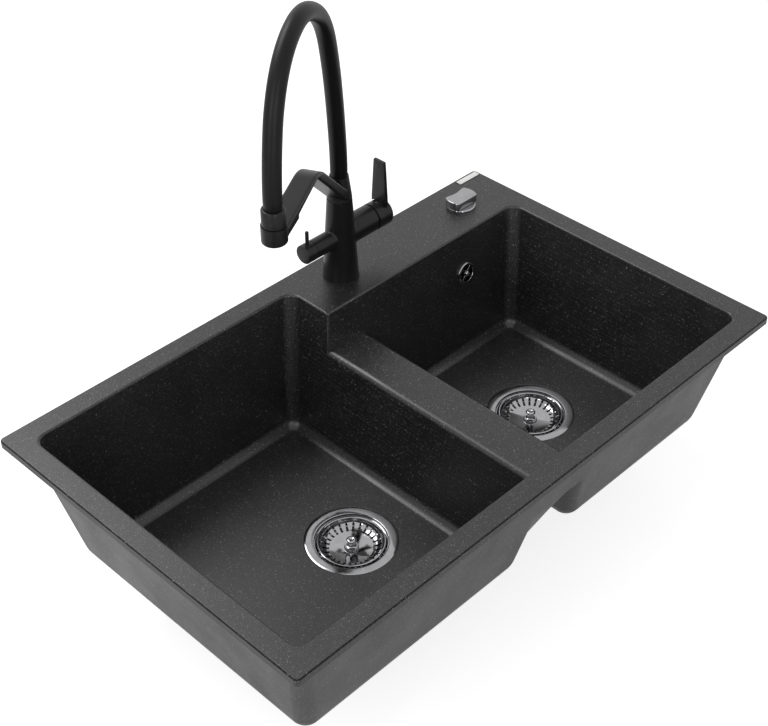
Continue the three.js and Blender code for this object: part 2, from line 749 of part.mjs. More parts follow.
/** The moulding as six simple solids: the rim, each bowl's walls and floor, and the divider. */
function sinkPieces() {
  const whole = sinkBody();
  const hung = past(whole, [0, 0, -GAP], [0, 0, -1]);
  const leftFace = LEFT_BOWL.right + outerOffset(0);
  const rightFace = RIGHT_BOWL.left - outerOffset(0);
  const leftShell = past(hung, [leftFace, 0, 0], [-1, 0, OUTER_DRAFT]);
  const rightShell = past(hung, [rightFace, 0, 0], [1, 0, OUTER_DRAFT]);
  const besideLeft = past(hung, [leftFace + GAP, 0, 0], [1, 0, -OUTER_DRAFT]);
  const divider = past(besideLeft, [rightFace - GAP, 0, 0], [-1, 0, -OUTER_DRAFT]);
  return [
    piece('sink_rim', past(whole, [0, 0, 0], [0, 0, 1]), MATERIALS.stone),
    ...bowlPieces('left', leftShell, LEFT_BOWL.floor),
    ...bowlPieces('right', rightShell, RIGHT_BOWL.floor),
    piece('bowl_divider', divider, MATERIALS.stone),
  ];
}

function namePlate() {
  const right = SINK_LENGTH / 2 - PLATE_SIDE_MARGIN;
  const back = BACK - PLATE_BACK_MARGIN;
  const plan = rectangle(right - PLATE_LENGTH, right, back - PLATE_WIDTH, back);
  const bottom = RIM_THICKNESS + GAP;
  return prism(rounded(plan, PLATE_CORNER, 2), bottom, bottom + PLATE_THICKNESS);
}

// ================================================================ wastes, heights from the bowl's floor

const CUP_FLOOR = -CUP_DEPTH;
const DRAIN_HOLE_RADIUS = CUP_RADIUS + DRAIN_CLEARANCE;
const STOPPER_BOTTOM = CUP_FLOOR + GAP;
const STOPPER_BORE = Math.max(LEFT_SCREW_RADIUS, RIGHT_SCREW_RADIUS) + SCREW_HEAD_STEP + STOPPER_CLEARANCE;
const BASKET_RADIUS = CUP_RADIUS - CUP_THICKNESS - BASKET_SIDE_CLEARANCE;
const BASKET_UNDERSIDE = CUP_FLOOR + BASKET_FLOOR_CLEARANCE;
const BODY_RADIUS = CUP_RADIUS + BODY_CLEARANCE + BODY_WALL;
const BODY_FLANGE_RADIUS = BODY_RADIUS + BODY_FLANGE_WIDTH;
const BODY_TOP = -FLOOR_THICKNESS - BODY_SEAL_THICKNESS - 2 * GAP;

/** Strainer cup with its broad flange, which lies in the recess of the bowl's floor. */
function wasteFlange(screwRadius) {
  const cupInside = CUP_RADIUS - CUP_THICKNESS;
  const flangeTop = -FLANGE_DISH;
  const shell = turned([
    [screwRadius + GAP, CUP_FLOOR],
    [cupInside, CUP_FLOOR],
    [cupInside, flangeTop - 3 * FLANGE_DISH],
    [CUP_RADIUS + 1, flangeTop - 2 * FLANGE_DISH],
    [FLANGE_RADIUS - 1, -FLANGE_DISH / 2],
    [FLANGE_RADIUS, -FLANGE_DISH],
    [FLANGE_RADIUS, -FLANGE_DEPTH],
    [CUP_RADIUS, -FLANGE_DEPTH],
    [CUP_RADIUS, CUP_FLOOR - CUP_THICKNESS],
    [screwRadius + GAP, CUP_FLOOR - CUP_THICKNESS],
  ], FINE_SIDES);
  const outlet = disc(CUP_OUTLET_RADIUS, CUP_FLOOR - 2 * CUP_THICKNESS, CUP_FLOOR + OVERCUT, SMALL_SIDES);
  return cut(shell, ...roundZ(outlet.translate(CUP_OUTLET_CIRCLE, 0, 0), CUP_OUTLETS));
}

/** Gasket between the flange and the recess. */
function flangeSeal() {
  const top = -FLANGE_DEPTH - GAP;
  return ring(CUP_RADIUS + 5 * GAP, FLANGE_RADIUS - 1, top - FLANGE_SEAL_THICKNESS, top, HIDDEN_SIDES);
}

/** Pressed basket with a slotted wall and a ring of holes in its floor. */
function strainerBasket() {
  const topInside = BASKET_RADIUS - BASKET_LIP;
  const shell = turned([
    [0, BASKET_UNDERSIDE],
    [BASKET_FLOOR_RADIUS, BASKET_UNDERSIDE],
    [topInside + BASKET_SHEET, -BASKET_TOP - BASKET_SHEET],
    [BASKET_RADIUS, -BASKET_TOP - BASKET_SHEET],
    [BASKET_RADIUS, -BASKET_TOP],
    [topInside, -BASKET_TOP],
    [BASKET_FLOOR_RADIUS - BASKET_SHEET, BASKET_UNDERSIDE + BASKET_SHEET],
    [0, BASKET_UNDERSIDE + BASKET_SHEET],
  ], FINE_SIDES);
  const slotLength = topInside - BASKET_FLOOR_RADIUS - 2 * BASKET_SHEET;
  const slot = new THREE.BoxGeometry(slotLength, BASKET_SLOT_WIDTH, -BASKET_UNDERSIDE);
  slot.translate((topInside + BASKET_FLOOR_RADIUS) / 2, 0, BASKET_UNDERSIDE / 2 - BASKET_TOP);
  const hole = disc(BASKET_HOLE_RADIUS, BASKET_UNDERSIDE - OVERCUT, BASKET_UNDERSIDE + 2 * OVERCUT + 1, 6);
  hole.translate(BASKET_HOLE_CIRCLE, 0, 0);
  return cut(shell, ...roundZ(slot, BASKET_SLOTS), ...roundZ(hole, BASKET_HOLES));
}

/** Rubber ring under the basket that shuts the cup's outlets. */
function stopperSeal() {
  return ring(STOPPER_BORE, STOPPER_RADIUS, STOPPER_BOTTOM, BASKET_UNDERSIDE - GAP, HIDDEN_SIDES);
}

/** Boss, stem and mushroom grip on the basket's floor. */
function basketKnob() {
  const seat = BASKET_UNDERSIDE + BASKET_SHEET + GAP;
  const headBottom = BASKET_KNOB_TOP - BASKET_KNOB_HEAD;
  return turned([
    [0, seat],
    [BASKET_BOSS_RADIUS, seat],
    [BASKET_BOSS_RADIUS - 1, seat + BASKET_BOSS_HEIGHT],
    [BASKET_KNOB_STEM, seat + BASKET_BOSS_HEIGHT + 0.6],
    [BASKET_KNOB_STEM, headBottom],
    [BASKET_KNOB_RADIUS, headBottom + 1],
    [BASKET_KNOB_RADIUS - 0.5, BASKET_KNOB_TOP - 1],
    [BASKET_KNOB_RADIUS - 2.5, BASKET_KNOB_TOP],
    [0, BASKET_KNOB_TOP],
  ], ROUND_SIDES);
}

/** Screw that clamps the cup to the waste body; a bore makes it a guide for the lift pin. */
function clampScrew(radius, bore) {
  const headBottom = CUP_FLOOR + GAP;
  const headTop = headBottom + SCREW_HEAD_HEIGHT;
  const headRadius = radius + SCREW_HEAD_STEP;
  return turned([
    [bore, -SCREW_END_DEPTH],
    [radius, -SCREW_END_DEPTH],
    [radius, headBottom],
    [headRadius, headBottom],
    [headRadius, headTop],
    [bore, headTop],
  ], HIDDEN_SIDES);
}

/** Pin that lifts the basket of the remote controlled waste. */
function liftPin() {
  return disc(LIFT_PIN_RADIUS, -LIFT_PIN_END_DEPTH, BASKET_UNDERSIDE - GAP, SMALL_SIDES);
}

/** Ring between the bowl's underside and the waste body. */
function bodySeal() {
  const top = -FLOOR_THICKNESS - GAP;
  return ring(DRAIN_HOLE_RADIUS + 1, BODY_FLANGE_RADIUS - 1, top - BODY_SEAL_THICKNESS, top, HIDDEN_SIDES);
}

/** A round pipe from the waste's axis outwards at an angle round Z. */
function sidePipe(radius, reach, depth, angle) {
  return alongX(disc(radius, 0, reach, SMALL_SIDES)).rotateZ(degrees(angle)).translate(0, 0, -depth);
}

/** Moulded funnel under the bowl, with a screw boss on ribs in its outlet pipe. */
function wasteBody(screwRadius, withRemote) {
  const bodyBore = CUP_RADIUS + 2;
  const pipeBore = OUTLET_RADIUS - BODY_WALL;
  const coneEnd = -BODY_SHOULDER_DEPTH - BODY_CONE_HEIGHT;
  const outside = turned([
    [0, -OUTLET_DEPTH],
    [OUTLET_RADIUS, -OUTLET_DEPTH],
    [OUTLET_RADIUS, coneEnd],
    [BODY_RADIUS, -BODY_SHOULDER_DEPTH],
    [BODY_RADIUS, BODY_TOP - BODY_FLANGE_THICKNESS],
    [BODY_FLANGE_RADIUS, BODY_TOP - BODY_FLANGE_THICKNESS],
    [BODY_FLANGE_RADIUS, BODY_TOP],
    [0, BODY_TOP],
  ], FINE_SIDES);
  const inside = turned([
    [0, -OUTLET_DEPTH - OVERCUT],
    [pipeBore, -OUTLET_DEPTH - OVERCUT],
    [pipeBore, coneEnd + BODY_WALL],
    [BODY_RADIUS - BODY_WALL, -BODY_SHOULDER_DEPTH + BODY_WALL],
    [BODY_RADIUS - BODY_WALL, BODY_TOP - BODY_FLANGE_THICKNESS],
    [bodyBore, BODY_TOP - BODY_FLANGE_THICKNESS],
    [bodyBore, BODY_TOP + OVERCUT],
    [0, BODY_TOP + OVERCUT],
  ], ROUND_SIDES);
  const spigot = sidePipe(SPIGOT_RADIUS, SPIGOT_REACH, SPIGOT_DEPTH, 90);
  const gland = sidePipe(GLAND_RADIUS, GLAND_REACH, OUTLET_DEPTH - GLAND_RISE, 0);
  const spigotBore = sidePipe(SPIGOT_BORE, SPIGOT_REACH + OVERCUT, SPIGOT_DEPTH, 90);
  const shell = withRemote
    ? cut(join(outside, spigot, gland), inside, spigotBore)
    : cut(outside, inside);
  const bossRadius = screwRadius + GAP + BOSS_WALL;
  const bossHeight = SCREW_END_DEPTH - BOSS_TOP_DEPTH;
  const boss = disc(bossRadius, -SCREW_END_DEPTH, -BOSS_TOP_DEPTH, HIDDEN_SIDES);
  const rib = new THREE.BoxGeometry(pipeBore + BODY_WALL / 2, BOSS_RIB_THICKNESS, bossHeight / 2);
  rib.translate((pipeBore + BODY_WALL / 2) / 2, 0, -SCREW_END_DEPTH + bossHeight / 4);
  const screwHole = disc(screwRadius + GAP, -OUTLET_DEPTH, -BOSS_TOP_DEPTH + OVERCUT, HIDDEN_SIDES);
  return cut(join(shell, boss, ...roundZ(rib.rotateZ(Math.PI / 6), BOSS_RIBS)), screwHole);
}

/** Ridged nut on the outlet pipe. */
function outletNut() {
  const bore = circle(OUTLET_RADIUS + GAP, ROUND_SIDES);
  const bottom = -OUTLET_DEPTH + OUTLET_NUT_SETBACK;
  const outline = circle(OUTLET_NUT_RADIUS, OUTLET_NUT_SIDES);
  return prism(outline, bottom, bottom + OUTLET_NUT_HEIGHT, { holes: [bore] });
}

/** All the pieces of one waste. */
function waste(side, { x, y }, floor, screwRadius, remote) {
  const screwBore = remote ? LIFT_PIN_RADIUS + GAP : 0;
  const group = new THREE.Group();
  group.position.set(x, y, floor);
  group.add(
    piece(`${side}_waste_flange`, wasteFlange(screwRadius), MATERIALS.gunmetal),
    piece(`${side}_flange_seal`, flangeSeal(), MATERIALS.rubber),
    piece(`${side}_strainer_basket`, strainerBasket(), MATERIALS.chrome),
    piece(`${side}_stopper_seal`, stopperSeal(), MATERIALS.rubber),
    piece(`${side}_basket_knob`, basketKnob(), MATERIALS.chrome),
    piece(`${side}_clamp_screw`, clampScrew(screwRadius, screwBore), MATERIALS.steel),
    piece(`${side}_body_seal`, bodySeal(), MATERIALS.rubber),
    piece(`${side}_waste_body`, wasteBody(screwRadius, remote), MATERIALS.plastic),
    piece(`${side}_outlet_nut`, outletNut(), MATERIALS.plastic),
  );
  if (remote) group.add(piece(`${side}_lift_pin`, liftPin(), MATERIALS.steel));
  return group;
}

// ================================================================ overflow

/** Ring, cross bars and short tube that line the overflow hole. */
function overflowGrille() {
  const top = GAP + OVERFLOW_RING_THICKNESS;
  const tubeRadius = OVERFLOW_HOLE_RADIUS - GAP;
  const open = OVERFLOW_RING_RADIUS - OVERFLOW_RING_WIDTH;
  const rim = turned([
    [open, -OVERFLOW_TUBE_LENGTH],
    [tubeRadius, -OVERFLOW_TUBE_LENGTH],
    [tubeRadius, GAP],
    [OVERFLOW_RING_RADIUS, GAP],
    [OVERFLOW_RING_RADIUS, top - 1],
    [OVERFLOW_RING_RADIUS - 1, top],
    [open + 1, top],
    [open, top - 1],
  ], ROUND_SIDES);
  const hub = disc(OVERFLOW_HUB_RADIUS, GAP, top - GAP, SMALL_SIDES);
  const span = 2 * open + OVERFLOW_RING_WIDTH / 2;
  const bars = [0, Math.PI / 2].map((angle) => (
    new THREE.BoxGeometry(span, OVERFLOW_BAR_WIDTH, top - 3 * GAP)
      .rotateZ(angle + Math.PI / 4)
      .translate(0, 0, (top + GAP) / 2)
  ));
  const screwHole = disc(OVERFLOW_SCREW_RADIUS + GAP, -OVERCUT, top + OVERCUT, SMALL_SIDES);
  return cut(join(rim, hub, ...bars), screwHole);
}

/** Screw that draws the grille and the rear elbow together. */
function overflowScrew() {
  const seat = 2 * GAP + OVERFLOW_RING_THICKNESS;
  const end = seat - OVERFLOW_SCREW_LENGTH;
  return turned([
    [0, end],
    [OVERFLOW_SCREW_RADIUS, end],
    [OVERFLOW_SCREW_RADIUS, seat],
    [OVERFLOW_SCREW_HEAD, seat],
    [OVERFLOW_SCREW_HEAD - 0.6, seat + 1.4],
    [0, seat + 1.6],
  ], SMALL_SIDES);
}

/** Gasket between the wall's outside and the rear housing. */
function overflowSeal() {
  const top = GAP + OVERFLOW_SEAL_THICKNESS;
  return ring(OVERFLOW_HOLE_RADIUS, ELBOW_FLANGE_RADIUS - 1, GAP, top, HIDDEN_SIDES);
}

/** Rear housing that turns the overflow water down into a spigot. */
function overflowElbow() {
  const seat = 2 * GAP + OVERFLOW_SEAL_THICKNESS;
  const top = seat + ELBOW_HEIGHT;
  const spigotHeight = seat + ELBOW_HEIGHT / 2;
  const spigot = (radius, reach) => disc(radius, 0, reach, ROUND_SIDES / 2)
    .rotateX(-Math.PI / 2)
    .translate(0, 0, spigotHeight);
  const outside = join(
    disc(ELBOW_FLANGE_RADIUS, seat, seat + ELBOW_FLANGE_THICKNESS, ROUND_SIDES),
    disc(ELBOW_RADIUS, seat, top, ROUND_SIDES),
    spigot(SPIGOT_RADIUS, ELBOW_SPIGOT_REACH),
  );
  const inside = disc(ELBOW_RADIUS - ELBOW_WALL, seat - OVERCUT, top - ELBOW_WALL, ROUND_SIDES);
  const hollowed = cut(outside, inside, spigot(SPIGOT_BORE, ELBOW_SPIGOT_REACH + OVERCUT));
  const screwClearance = OVERFLOW_SCREW_RADIUS + 2 * GAP;
  const boss = disc(screwClearance + 2, top - ELBOW_HEIGHT / 2, top - ELBOW_WALL / 2, SMALL_SIDES);
  const bossHole = disc(screwClearance, seat, top - ELBOW_WALL, SMALL_SIDES);
  return cut(join(hollowed, boss), bossHole);
}

function overflow() {
  const front = facingBowl(new THREE.Group());
  front.add(
    piece('overflow_grille', overflowGrille(), MATERIALS.chrome),
    piece('overflow_screw', overflowScrew(), MATERIALS.chrome),
  );
  const back = facingBack(new THREE.Group());
  back.add(
    piece('overflow_seal', overflowSeal(), MATERIALS.rubber),
    piece('overflow_elbow', overflowElbow(), MATERIALS.plastic),
  );
  return [front, back];
}

// ================================================================ waste control, heights from the deck's top

const SLEEVE_RADIUS = DECK_HOLE_RADIUS - DECK_HOLE_CLEARANCE;
const KNOB_BOTTOM = SLEEVE_FLANGE_THICKNESS + 2 * GAP;
const SHAFT_TOP = KNOB_TOP - 3;
const CHAMBER_TOP = -SLEEVE_BRIDGE;
const CHAMBER_RADIUS = SLEEVE_RADIUS - SLEEVE_WALL;

/** Round turning knob cut to two grips, the back one slightly hollow. */
function controlKnob() {
  const corner = Math.asin(KNOB_HALF_WIDTH / KNOB_RADIUS);
  const side = (from, to) => Array.from({ length: 7 }, (_, k) => {
    const angle = from + ((to - from) * k) / 6;
    return [KNOB_RADIUS * Math.cos(angle), KNOB_RADIUS * Math.sin(angle)];
  });
  const halfLength = KNOB_RADIUS * Math.cos(corner);
  const hollow = [0.5, 0, -0.5].map((share) => (
    [halfLength * share, KNOB_HALF_WIDTH - KNOB_HOLLOW * (1 - share * share)]
  ));
  const outline = [...side(-corner, corner), ...hollow, ...side(Math.PI - corner, Math.PI + corner)];
  const body = prism(outline, KNOB_BOTTOM, KNOB_TOP, { round: KNOB_ROUND });
  return cut(body, disc(KNOB_SHAFT_RADIUS + GAP, KNOB_BOTTOM - OVERCUT, SHAFT_TOP + GAP, ROUND_SIDES));
}

/** Shaft from the knob down to the cable drum. */
function knobShaft() {
  const bottom = CHAMBER_TOP - GAP - DRUM_THICKNESS;
  return disc(KNOB_SHAFT_RADIUS, bottom, SHAFT_TOP, SMALL_SIDES);
}

/** Drum that winds the control cable. */
function controlDrum() {
  const top = CHAMBER_TOP - GAP;
  const middle = top - DRUM_THICKNESS / 2;
  const radius = CHAMBER_RADIUS - GAP;
  return turned([
    [KNOB_SHAFT_RADIUS + GAP, top - DRUM_THICKNESS],
    [radius, top - DRUM_THICKNESS],
    [radius, middle - 2],
    [radius - 2, middle],
    [radius, middle + 2],
    [radius, top],
    [KNOB_SHAFT_RADIUS + GAP, top],
  ], ROUND_SIDES);
}

/** Flanged sleeve through the deck that carries the shaft. */
function controlSleeve() {
  return turned([
    [KNOB_SHAFT_RADIUS + GAP, CHAMBER_TOP],
    [CHAMBER_RADIUS, CHAMBER_TOP],
    [CHAMBER_RADIUS, -SLEEVE_LENGTH],
    [SLEEVE_RADIUS, -SLEEVE_LENGTH],
    [SLEEVE_RADIUS, GAP],
    [SLEEVE_FLANGE_RADIUS, GAP],
    [SLEEVE_FLANGE_RADIUS, SLEEVE_FLANGE_THICKNESS - 0.7],
    [SLEEVE_FLANGE_RADIUS - 0.7, GAP + SLEEVE_FLANGE_THICKNESS],
    [KNOB_SHAFT_RADIUS + GAP, GAP + SLEEVE_FLANGE_THICKNESS],
  ], ROUND_SIDES);
}

/** Plug that closes the sleeve, with the cable's gland. */
function controlCap() {
  const bottom = -SLEEVE_LENGTH;
  const plug = disc(CHAMBER_RADIUS - GAP, bottom, bottom + CONTROL_CAP_THICKNESS, ROUND_SIDES);
  const gland = disc(GLAND_RADIUS, bottom - 3 * CONTROL_CAP_THICKNESS, bottom + 1, SMALL_SIDES);
  return join(plug, gland);
}

/** Flat washer under the deck. */
function deckWasher(bore, radius, top, thickness) {
  return ring(bore + GAP, radius, top - thickness, top, ROUND_SIDES);
}

/** Six sided nut under the deck. */
function deckNut(bore, radius, top, height) {
  return prism(circle(radius, 6), top - height, top, { holes: [circle(bore + GAP, ROUND_SIDES)] });
}

function wasteControl() {
  const group = new THREE.Group();
  group.position.set(CONTROL_X, DECK_HOLE_Y, RIM_THICKNESS);
  const washerTop = -RIM_THICKNESS - GAP;
  const nutTop = washerTop - CONTROL_WASHER_THICKNESS - GAP;
  group.add(
    piece('control_knob', controlKnob(), MATERIALS.gunmetal),
    piece('knob_shaft', knobShaft(), MATERIALS.steel),
    piece('control_drum', controlDrum(), MATERIALS.plastic),
    piece('control_sleeve', controlSleeve(), MATERIALS.gunmetal),
    piece('control_cap', controlCap(), MATERIALS.plastic),
    piece(
      'control_washer',
      deckWasher(SLEEVE_RADIUS, CONTROL_WASHER_RADIUS, washerTop, CONTROL_WASHER_THICKNESS),
      MATERIALS.rubber,
    ),
    piece(
      'control_nut',
      deckNut(SLEEVE_RADIUS, CONTROL_NUT_RADIUS, nutTop, CONTROL_NUT_HEIGHT),
      MATERIALS.plastic,
    ),
  );
  return group;
}

// ================================================================ tap body, heights from the deck's top

const COLUMN_BOTTOM = TAP_SEAL_THICKNESS + 2 * GAP;
const SPIGOT_TOP_HEIGHT = COLUMN_TOP_HEIGHT + SWIVEL_LENGTH;
const SHANK_RADIUS = DECK_HOLE_RADIUS - DECK_HOLE_CLEARANCE;
const CARTRIDGE_END = MIXER_REACH - CARTRIDGE_RECESS - CARTRIDGE_RING_THICKNESS - GAP;
const CARTRIDGE_START = CARTRIDGE_END - CARTRIDGE_LENGTH;
const HUB_START = MIXER_REACH + GAP;
const HUB_END = HUB_START + HUB_LENGTH;
const LEVER_X = HUB_END - LEVER_INSET;
const GRUB_X = LEVER_X - GRUB_OFFSET;
const FILTER_HUB_START = FILTER_REACH + GAP;
const FILTER_LEVER_X = FILTER_HUB_START + FILTER_LEVER_INSET;

/** Column with both valve housings, bored for the water ways, valves and shank. */
function tapBody() {
  const column = turned([
    [0, COLUMN_BOTTOM],
    [COLUMN_BASE_RADIUS, COLUMN_BOTTOM],
    [COLUMN_MIDDLE_RADIUS, COLUMN_MIDDLE_HEIGHT],
    [COLUMN_TOP_RADIUS, COLUMN_TOP_HEIGHT],
    [SPIGOT_OUTER_RADIUS, COLUMN_TOP_HEIGHT],
    [SPIGOT_OUTER_RADIUS, SPIGOT_TOP_HEIGHT],
    [0, SPIGOT_TOP_HEIGHT],
  ], FINE_SIDES);
  const housings = [
    alongX(disc(MIXER_RADIUS, 0, MIXER_REACH, FINE_SIDES)),
    alongX(disc(FILTER_RADIUS, -FILTER_REACH, 0, ROUND_SIDES)),
  ].map((housing) => housing.translate(0, 0, VALVE_HEIGHT));
  const bores = [
    disc(SHANK_RADIUS + GAP, 0, SHANK_SOCKET, ROUND_SIDES),
    disc(COLUMN_BORE_RADIUS, 0, COLUMN_TOP_HEIGHT - 2 * COLUMN_BORE_RADIUS, ROUND_SIDES),
    disc(SPIGOT_INNER_RADIUS, 0, SPIGOT_TOP_HEIGHT + OVERCUT, ROUND_SIDES),
    alongX(disc(MIXER_BORE_RADIUS, CARTRIDGE_START - GAP, MIXER_REACH + OVERCUT, ROUND_SIDES))
      .translate(0, 0, VALVE_HEIGHT),
    alongX(disc(FILTER_BORE_RADIUS, -FILTER_REACH - OVERCUT, -FILTER_REACH + FILTER_BORE_DEPTH, ROUND_SIDES))
      .translate(0, 0, VALVE_HEIGHT),
    alongX(disc(SPIGOT_INNER_RADIUS / 2, -FILTER_REACH + OVERCUT, MIXER_REACH - OVERCUT, SMALL_SIDES))
      .translate(0, 0, VALVE_HEIGHT),
  ];
  return cut(join(column, ...housings), ...bores);
}

/** Ceramic cartridge in the mixer housing, with a socket for the spindle. */
function mixerCartridge() {
  const socket = CARTRIDGE_END - SPINDLE_IN_CARTRIDGE - GAP;
  return alongX(turned([
    [0, CARTRIDGE_START],
    [MIXER_BORE_RADIUS - GAP, CARTRIDGE_START],
    [MIXER_BORE_RADIUS - GAP, CARTRIDGE_END],
    [SPINDLE_RADIUS + GAP, CARTRIDGE_END],
    [SPINDLE_RADIUS + GAP, socket],
    [0, socket],
  ], ROUND_SIDES)).translate(0, 0, VALVE_HEIGHT);
}

/** Threaded ring that holds the cartridge. */
function cartridgeRing() {
  const start = CARTRIDGE_END + GAP;
  return alongX(ring(
    SPINDLE_RADIUS + 4 * GAP,
    MIXER_BORE_RADIUS - GAP,
    start,
    start + CARTRIDGE_RING_THICKNESS,
    ROUND_SIDES,
  )).translate(0, 0, VALVE_HEIGHT);
}

/** Spindle that links the hub to the cartridge. */
function mixerSpindle() {
  const start = CARTRIDGE_END - SPINDLE_IN_CARTRIDGE;
  const end = HUB_START + SPINDLE_IN_HUB;
  return alongX(disc(SPINDLE_RADIUS, start, end, SMALL_SIDES)).translate(0, 0, VALVE_HEIGHT);
}

/** The slot in the hub in which the lever's tang swings outwards. */
function leverSlot() {
  const half = LEVER_THICKNESS / 2 + GAP;
  const height = MIXER_RADIUS + OVERCUT;
  const outerFoot = half / Math.cos(degrees(LEVER_SWING));
  const outerTop = outerFoot + height * Math.tan(degrees(LEVER_SWING));
  const outline = [[-half, 0], [outerFoot, 0], [outerTop, height], [-half, height]];
  const halfWidth = LEVER_TANG_WIDTH / 2 + GAP;
  const slot = prism(outline, -halfWidth, halfWidth).rotateX(Math.PI / 2);
  const pocket = disc(LEVER_BARREL_RADIUS + GAP, -halfWidth, halfWidth, ROUND_SIDES).rotateX(Math.PI / 2);
  return join(slot, pocket).translate(LEVER_X, 0, VALVE_HEIGHT);
}

/** Hub that turns for temperature, slotted for the lever. */
function mixerHub() {
  const body = alongX(turned([
    [0, HUB_START],
    [MIXER_RADIUS, HUB_START],
    [MIXER_RADIUS, HUB_END - HUB_ROUND],
    [MIXER_RADIUS - 0.3 * HUB_ROUND, HUB_END - 0.3 * HUB_ROUND],
    [MIXER_RADIUS - HUB_ROUND, HUB_END],
    [0, HUB_END],
  ], FINE_SIDES)).translate(0, 0, VALVE_HEIGHT);
  const spindleHole = alongX(
    disc(SPINDLE_RADIUS + GAP, HUB_START - OVERCUT, HUB_START + SPINDLE_IN_HUB + GAP, SMALL_SIDES),
  ).translate(0, 0, VALVE_HEIGHT);
  const pinHole = disc(LEVER_PIN_RADIUS + GAP, -MIXER_RADIUS, MIXER_RADIUS, SMALL_SIDES)
    .rotateX(Math.PI / 2)
    .translate(LEVER_X, 0, VALVE_HEIGHT);
  const grubHole = disc(GRUB_RADIUS + GAP, SPINDLE_RADIUS, MIXER_RADIUS + OVERCUT, GRUB_SIDES)
    .translate(GRUB_X, 0, VALVE_HEIGHT);
  return cut(body, spindleHole, pinHole, grubHole, leverSlot());
}

/** Cross pin on which the lever tips. */
function leverPin() {
  const halfLength = MIXER_RADIUS - 3;
  return disc(LEVER_PIN_RADIUS, -halfLength, halfLength, SMALL_SIDES)
    .rotateX(Math.PI / 2)
    .translate(LEVER_X, 0, VALVE_HEIGHT);
}

/** Grub screw that locks the hub to the spindle. */
function hubGrubScrew() {
  const top = VALVE_HEIGHT + MIXER_RADIUS - 0.8;
  return disc(GRUB_RADIUS, top - GRUB_LENGTH, top, GRUB_SIDES).translate(GRUB_X, 0, 0);
}

/** Flat tapered lever with a tang and a barrel round the cross pin. */
function mixerLever() {
  const half = LEVER_THICKNESS / 2;
  const topHeight = LEVER_TOP_HEIGHT - VALVE_HEIGHT;
  const blade = prism(rounded([
    [-LEVER_FOOT_WIDTH / 2, 0],
    [LEVER_FOOT_WIDTH / 2, 0],
    [LEVER_FOOT_WIDTH / 2, MIXER_RADIUS + 4],
    [LEVER_TOP_WIDTH / 2, topHeight],
    [-LEVER_TOP_WIDTH / 2, topHeight],
    [-LEVER_FOOT_WIDTH / 2, MIXER_RADIUS + 4],
  ], [0, 0, 0, 2, 2, 0], 3), -half, half, { round: 0.6 });
  const hubClearance = (MIXER_RADIUS + GAP) / Math.cos(degrees(LEVER_SWING));
  const arch = disc(hubClearance, -2 * half, 2 * half, FINE_SIDES);
  const tang = new THREE.BoxGeometry(LEVER_TANG_WIDTH, hubClearance + 1, LEVER_THICKNESS)
    .translate(0, (hubClearance + 1) / 2, 0);
  const flat = join(cut(blade, arch), tang).rotateX(Math.PI / 2).rotateZ(Math.PI / 2);
  const barrel = (radius, halfLength) => (
    disc(radius, -halfLength, halfLength, SMALL_SIDES).rotateX(Math.PI / 2)
  );
  const whole = join(flat, barrel(LEVER_BARREL_RADIUS, LEVER_TANG_WIDTH / 2));
  return cut(whole, barrel(LEVER_PIN_RADIUS + GAP, LEVER_TANG_WIDTH))
    .translate(LEVER_X, 0, VALVE_HEIGHT);
}

/** Quarter turn headwork in the filter housing. */
function filterHeadwork() {
  const start = -FILTER_REACH + GAP;
  const end = -FILTER_REACH + FILTER_BORE_DEPTH - GAP;
  const socketEnd = start + FILTER_BORE_DEPTH / 2;
  return alongX(turned([
    [FILTER_SPINDLE_RADIUS + GAP, start],
    [FILTER_BORE_RADIUS - GAP, start],
    [FILTER_BORE_RADIUS - GAP, end],
    [0, end],
    [0, socketEnd],
    [FILTER_SPINDLE_RADIUS + GAP, socketEnd],
  ], ROUND_SIDES)).translate(0, 0, VALVE_HEIGHT);
}

/** Spindle that links the filter handle to its headwork. */
function filterSpindle() {
  const inner = -FILTER_REACH + FILTER_BORE_DEPTH / 2;
  const outer = -FILTER_HUB_START - FILTER_HUB_LENGTH / 2;
  return alongX(disc(FILTER_SPINDLE_RADIUS, outer + GAP, inner, SMALL_SIDES)).translate(0, 0, VALVE_HEIGHT);
}

/** Turning end of the filter valve. */
function filterHub() {
  const end = -FILTER_HUB_START - FILTER_HUB_LENGTH;
  const socket = -FILTER_HUB_START - FILTER_HUB_LENGTH / 2;
  const body = alongX(turned([
    [0, end],
    [FILTER_RADIUS - 1.2, end],
    [FILTER_RADIUS, end + 1.2],
    [FILTER_RADIUS, -FILTER_HUB_START],
    [FILTER_SPINDLE_RADIUS + GAP, -FILTER_HUB_START],
    [FILTER_SPINDLE_RADIUS + GAP, socket],
    [0, socket],
  ], ROUND_SIDES)).translate(0, 0, VALVE_HEIGHT);
  const holeTop = VALVE_HEIGHT + FILTER_RADIUS + OVERCUT;
  const leverHole = disc(FILTER_LEVER_RADIUS + GAP, leverSeat() - GAP, holeTop, SMALL_SIDES)
    .translate(-FILTER_LEVER_X, 0, 0);
  return cut(body, leverHole);
}

/** How far down the pin lever is screwed into the filter hub. */
function leverSeat() {
  return VALVE_HEIGHT + FILTER_SPINDLE_RADIUS + 2;
}

/** Slim pin lever of the filter valve. */
function filterLever() {
  return turned([
    [0, leverSeat()],
    [FILTER_LEVER_RADIUS, leverSeat()],
    [FILTER_LEVER_RADIUS, FILTER_LEVER_TOP - 0.8],
    [FILTER_LEVER_RADIUS - 0.8, FILTER_LEVER_TOP],
    [0, FILTER_LEVER_TOP],
  ], SMALL_SIDES).translate(-FILTER_LEVER_X, 0, 0);
}

/** Threaded tube that clamps the tap to the deck. */
function tapShank() {
  return ring(SHANK_RADIUS - SHANK_WALL, SHANK_RADIUS, -SHANK_LENGTH, SHANK_SOCKET - GAP, ROUND_SIDES);
}

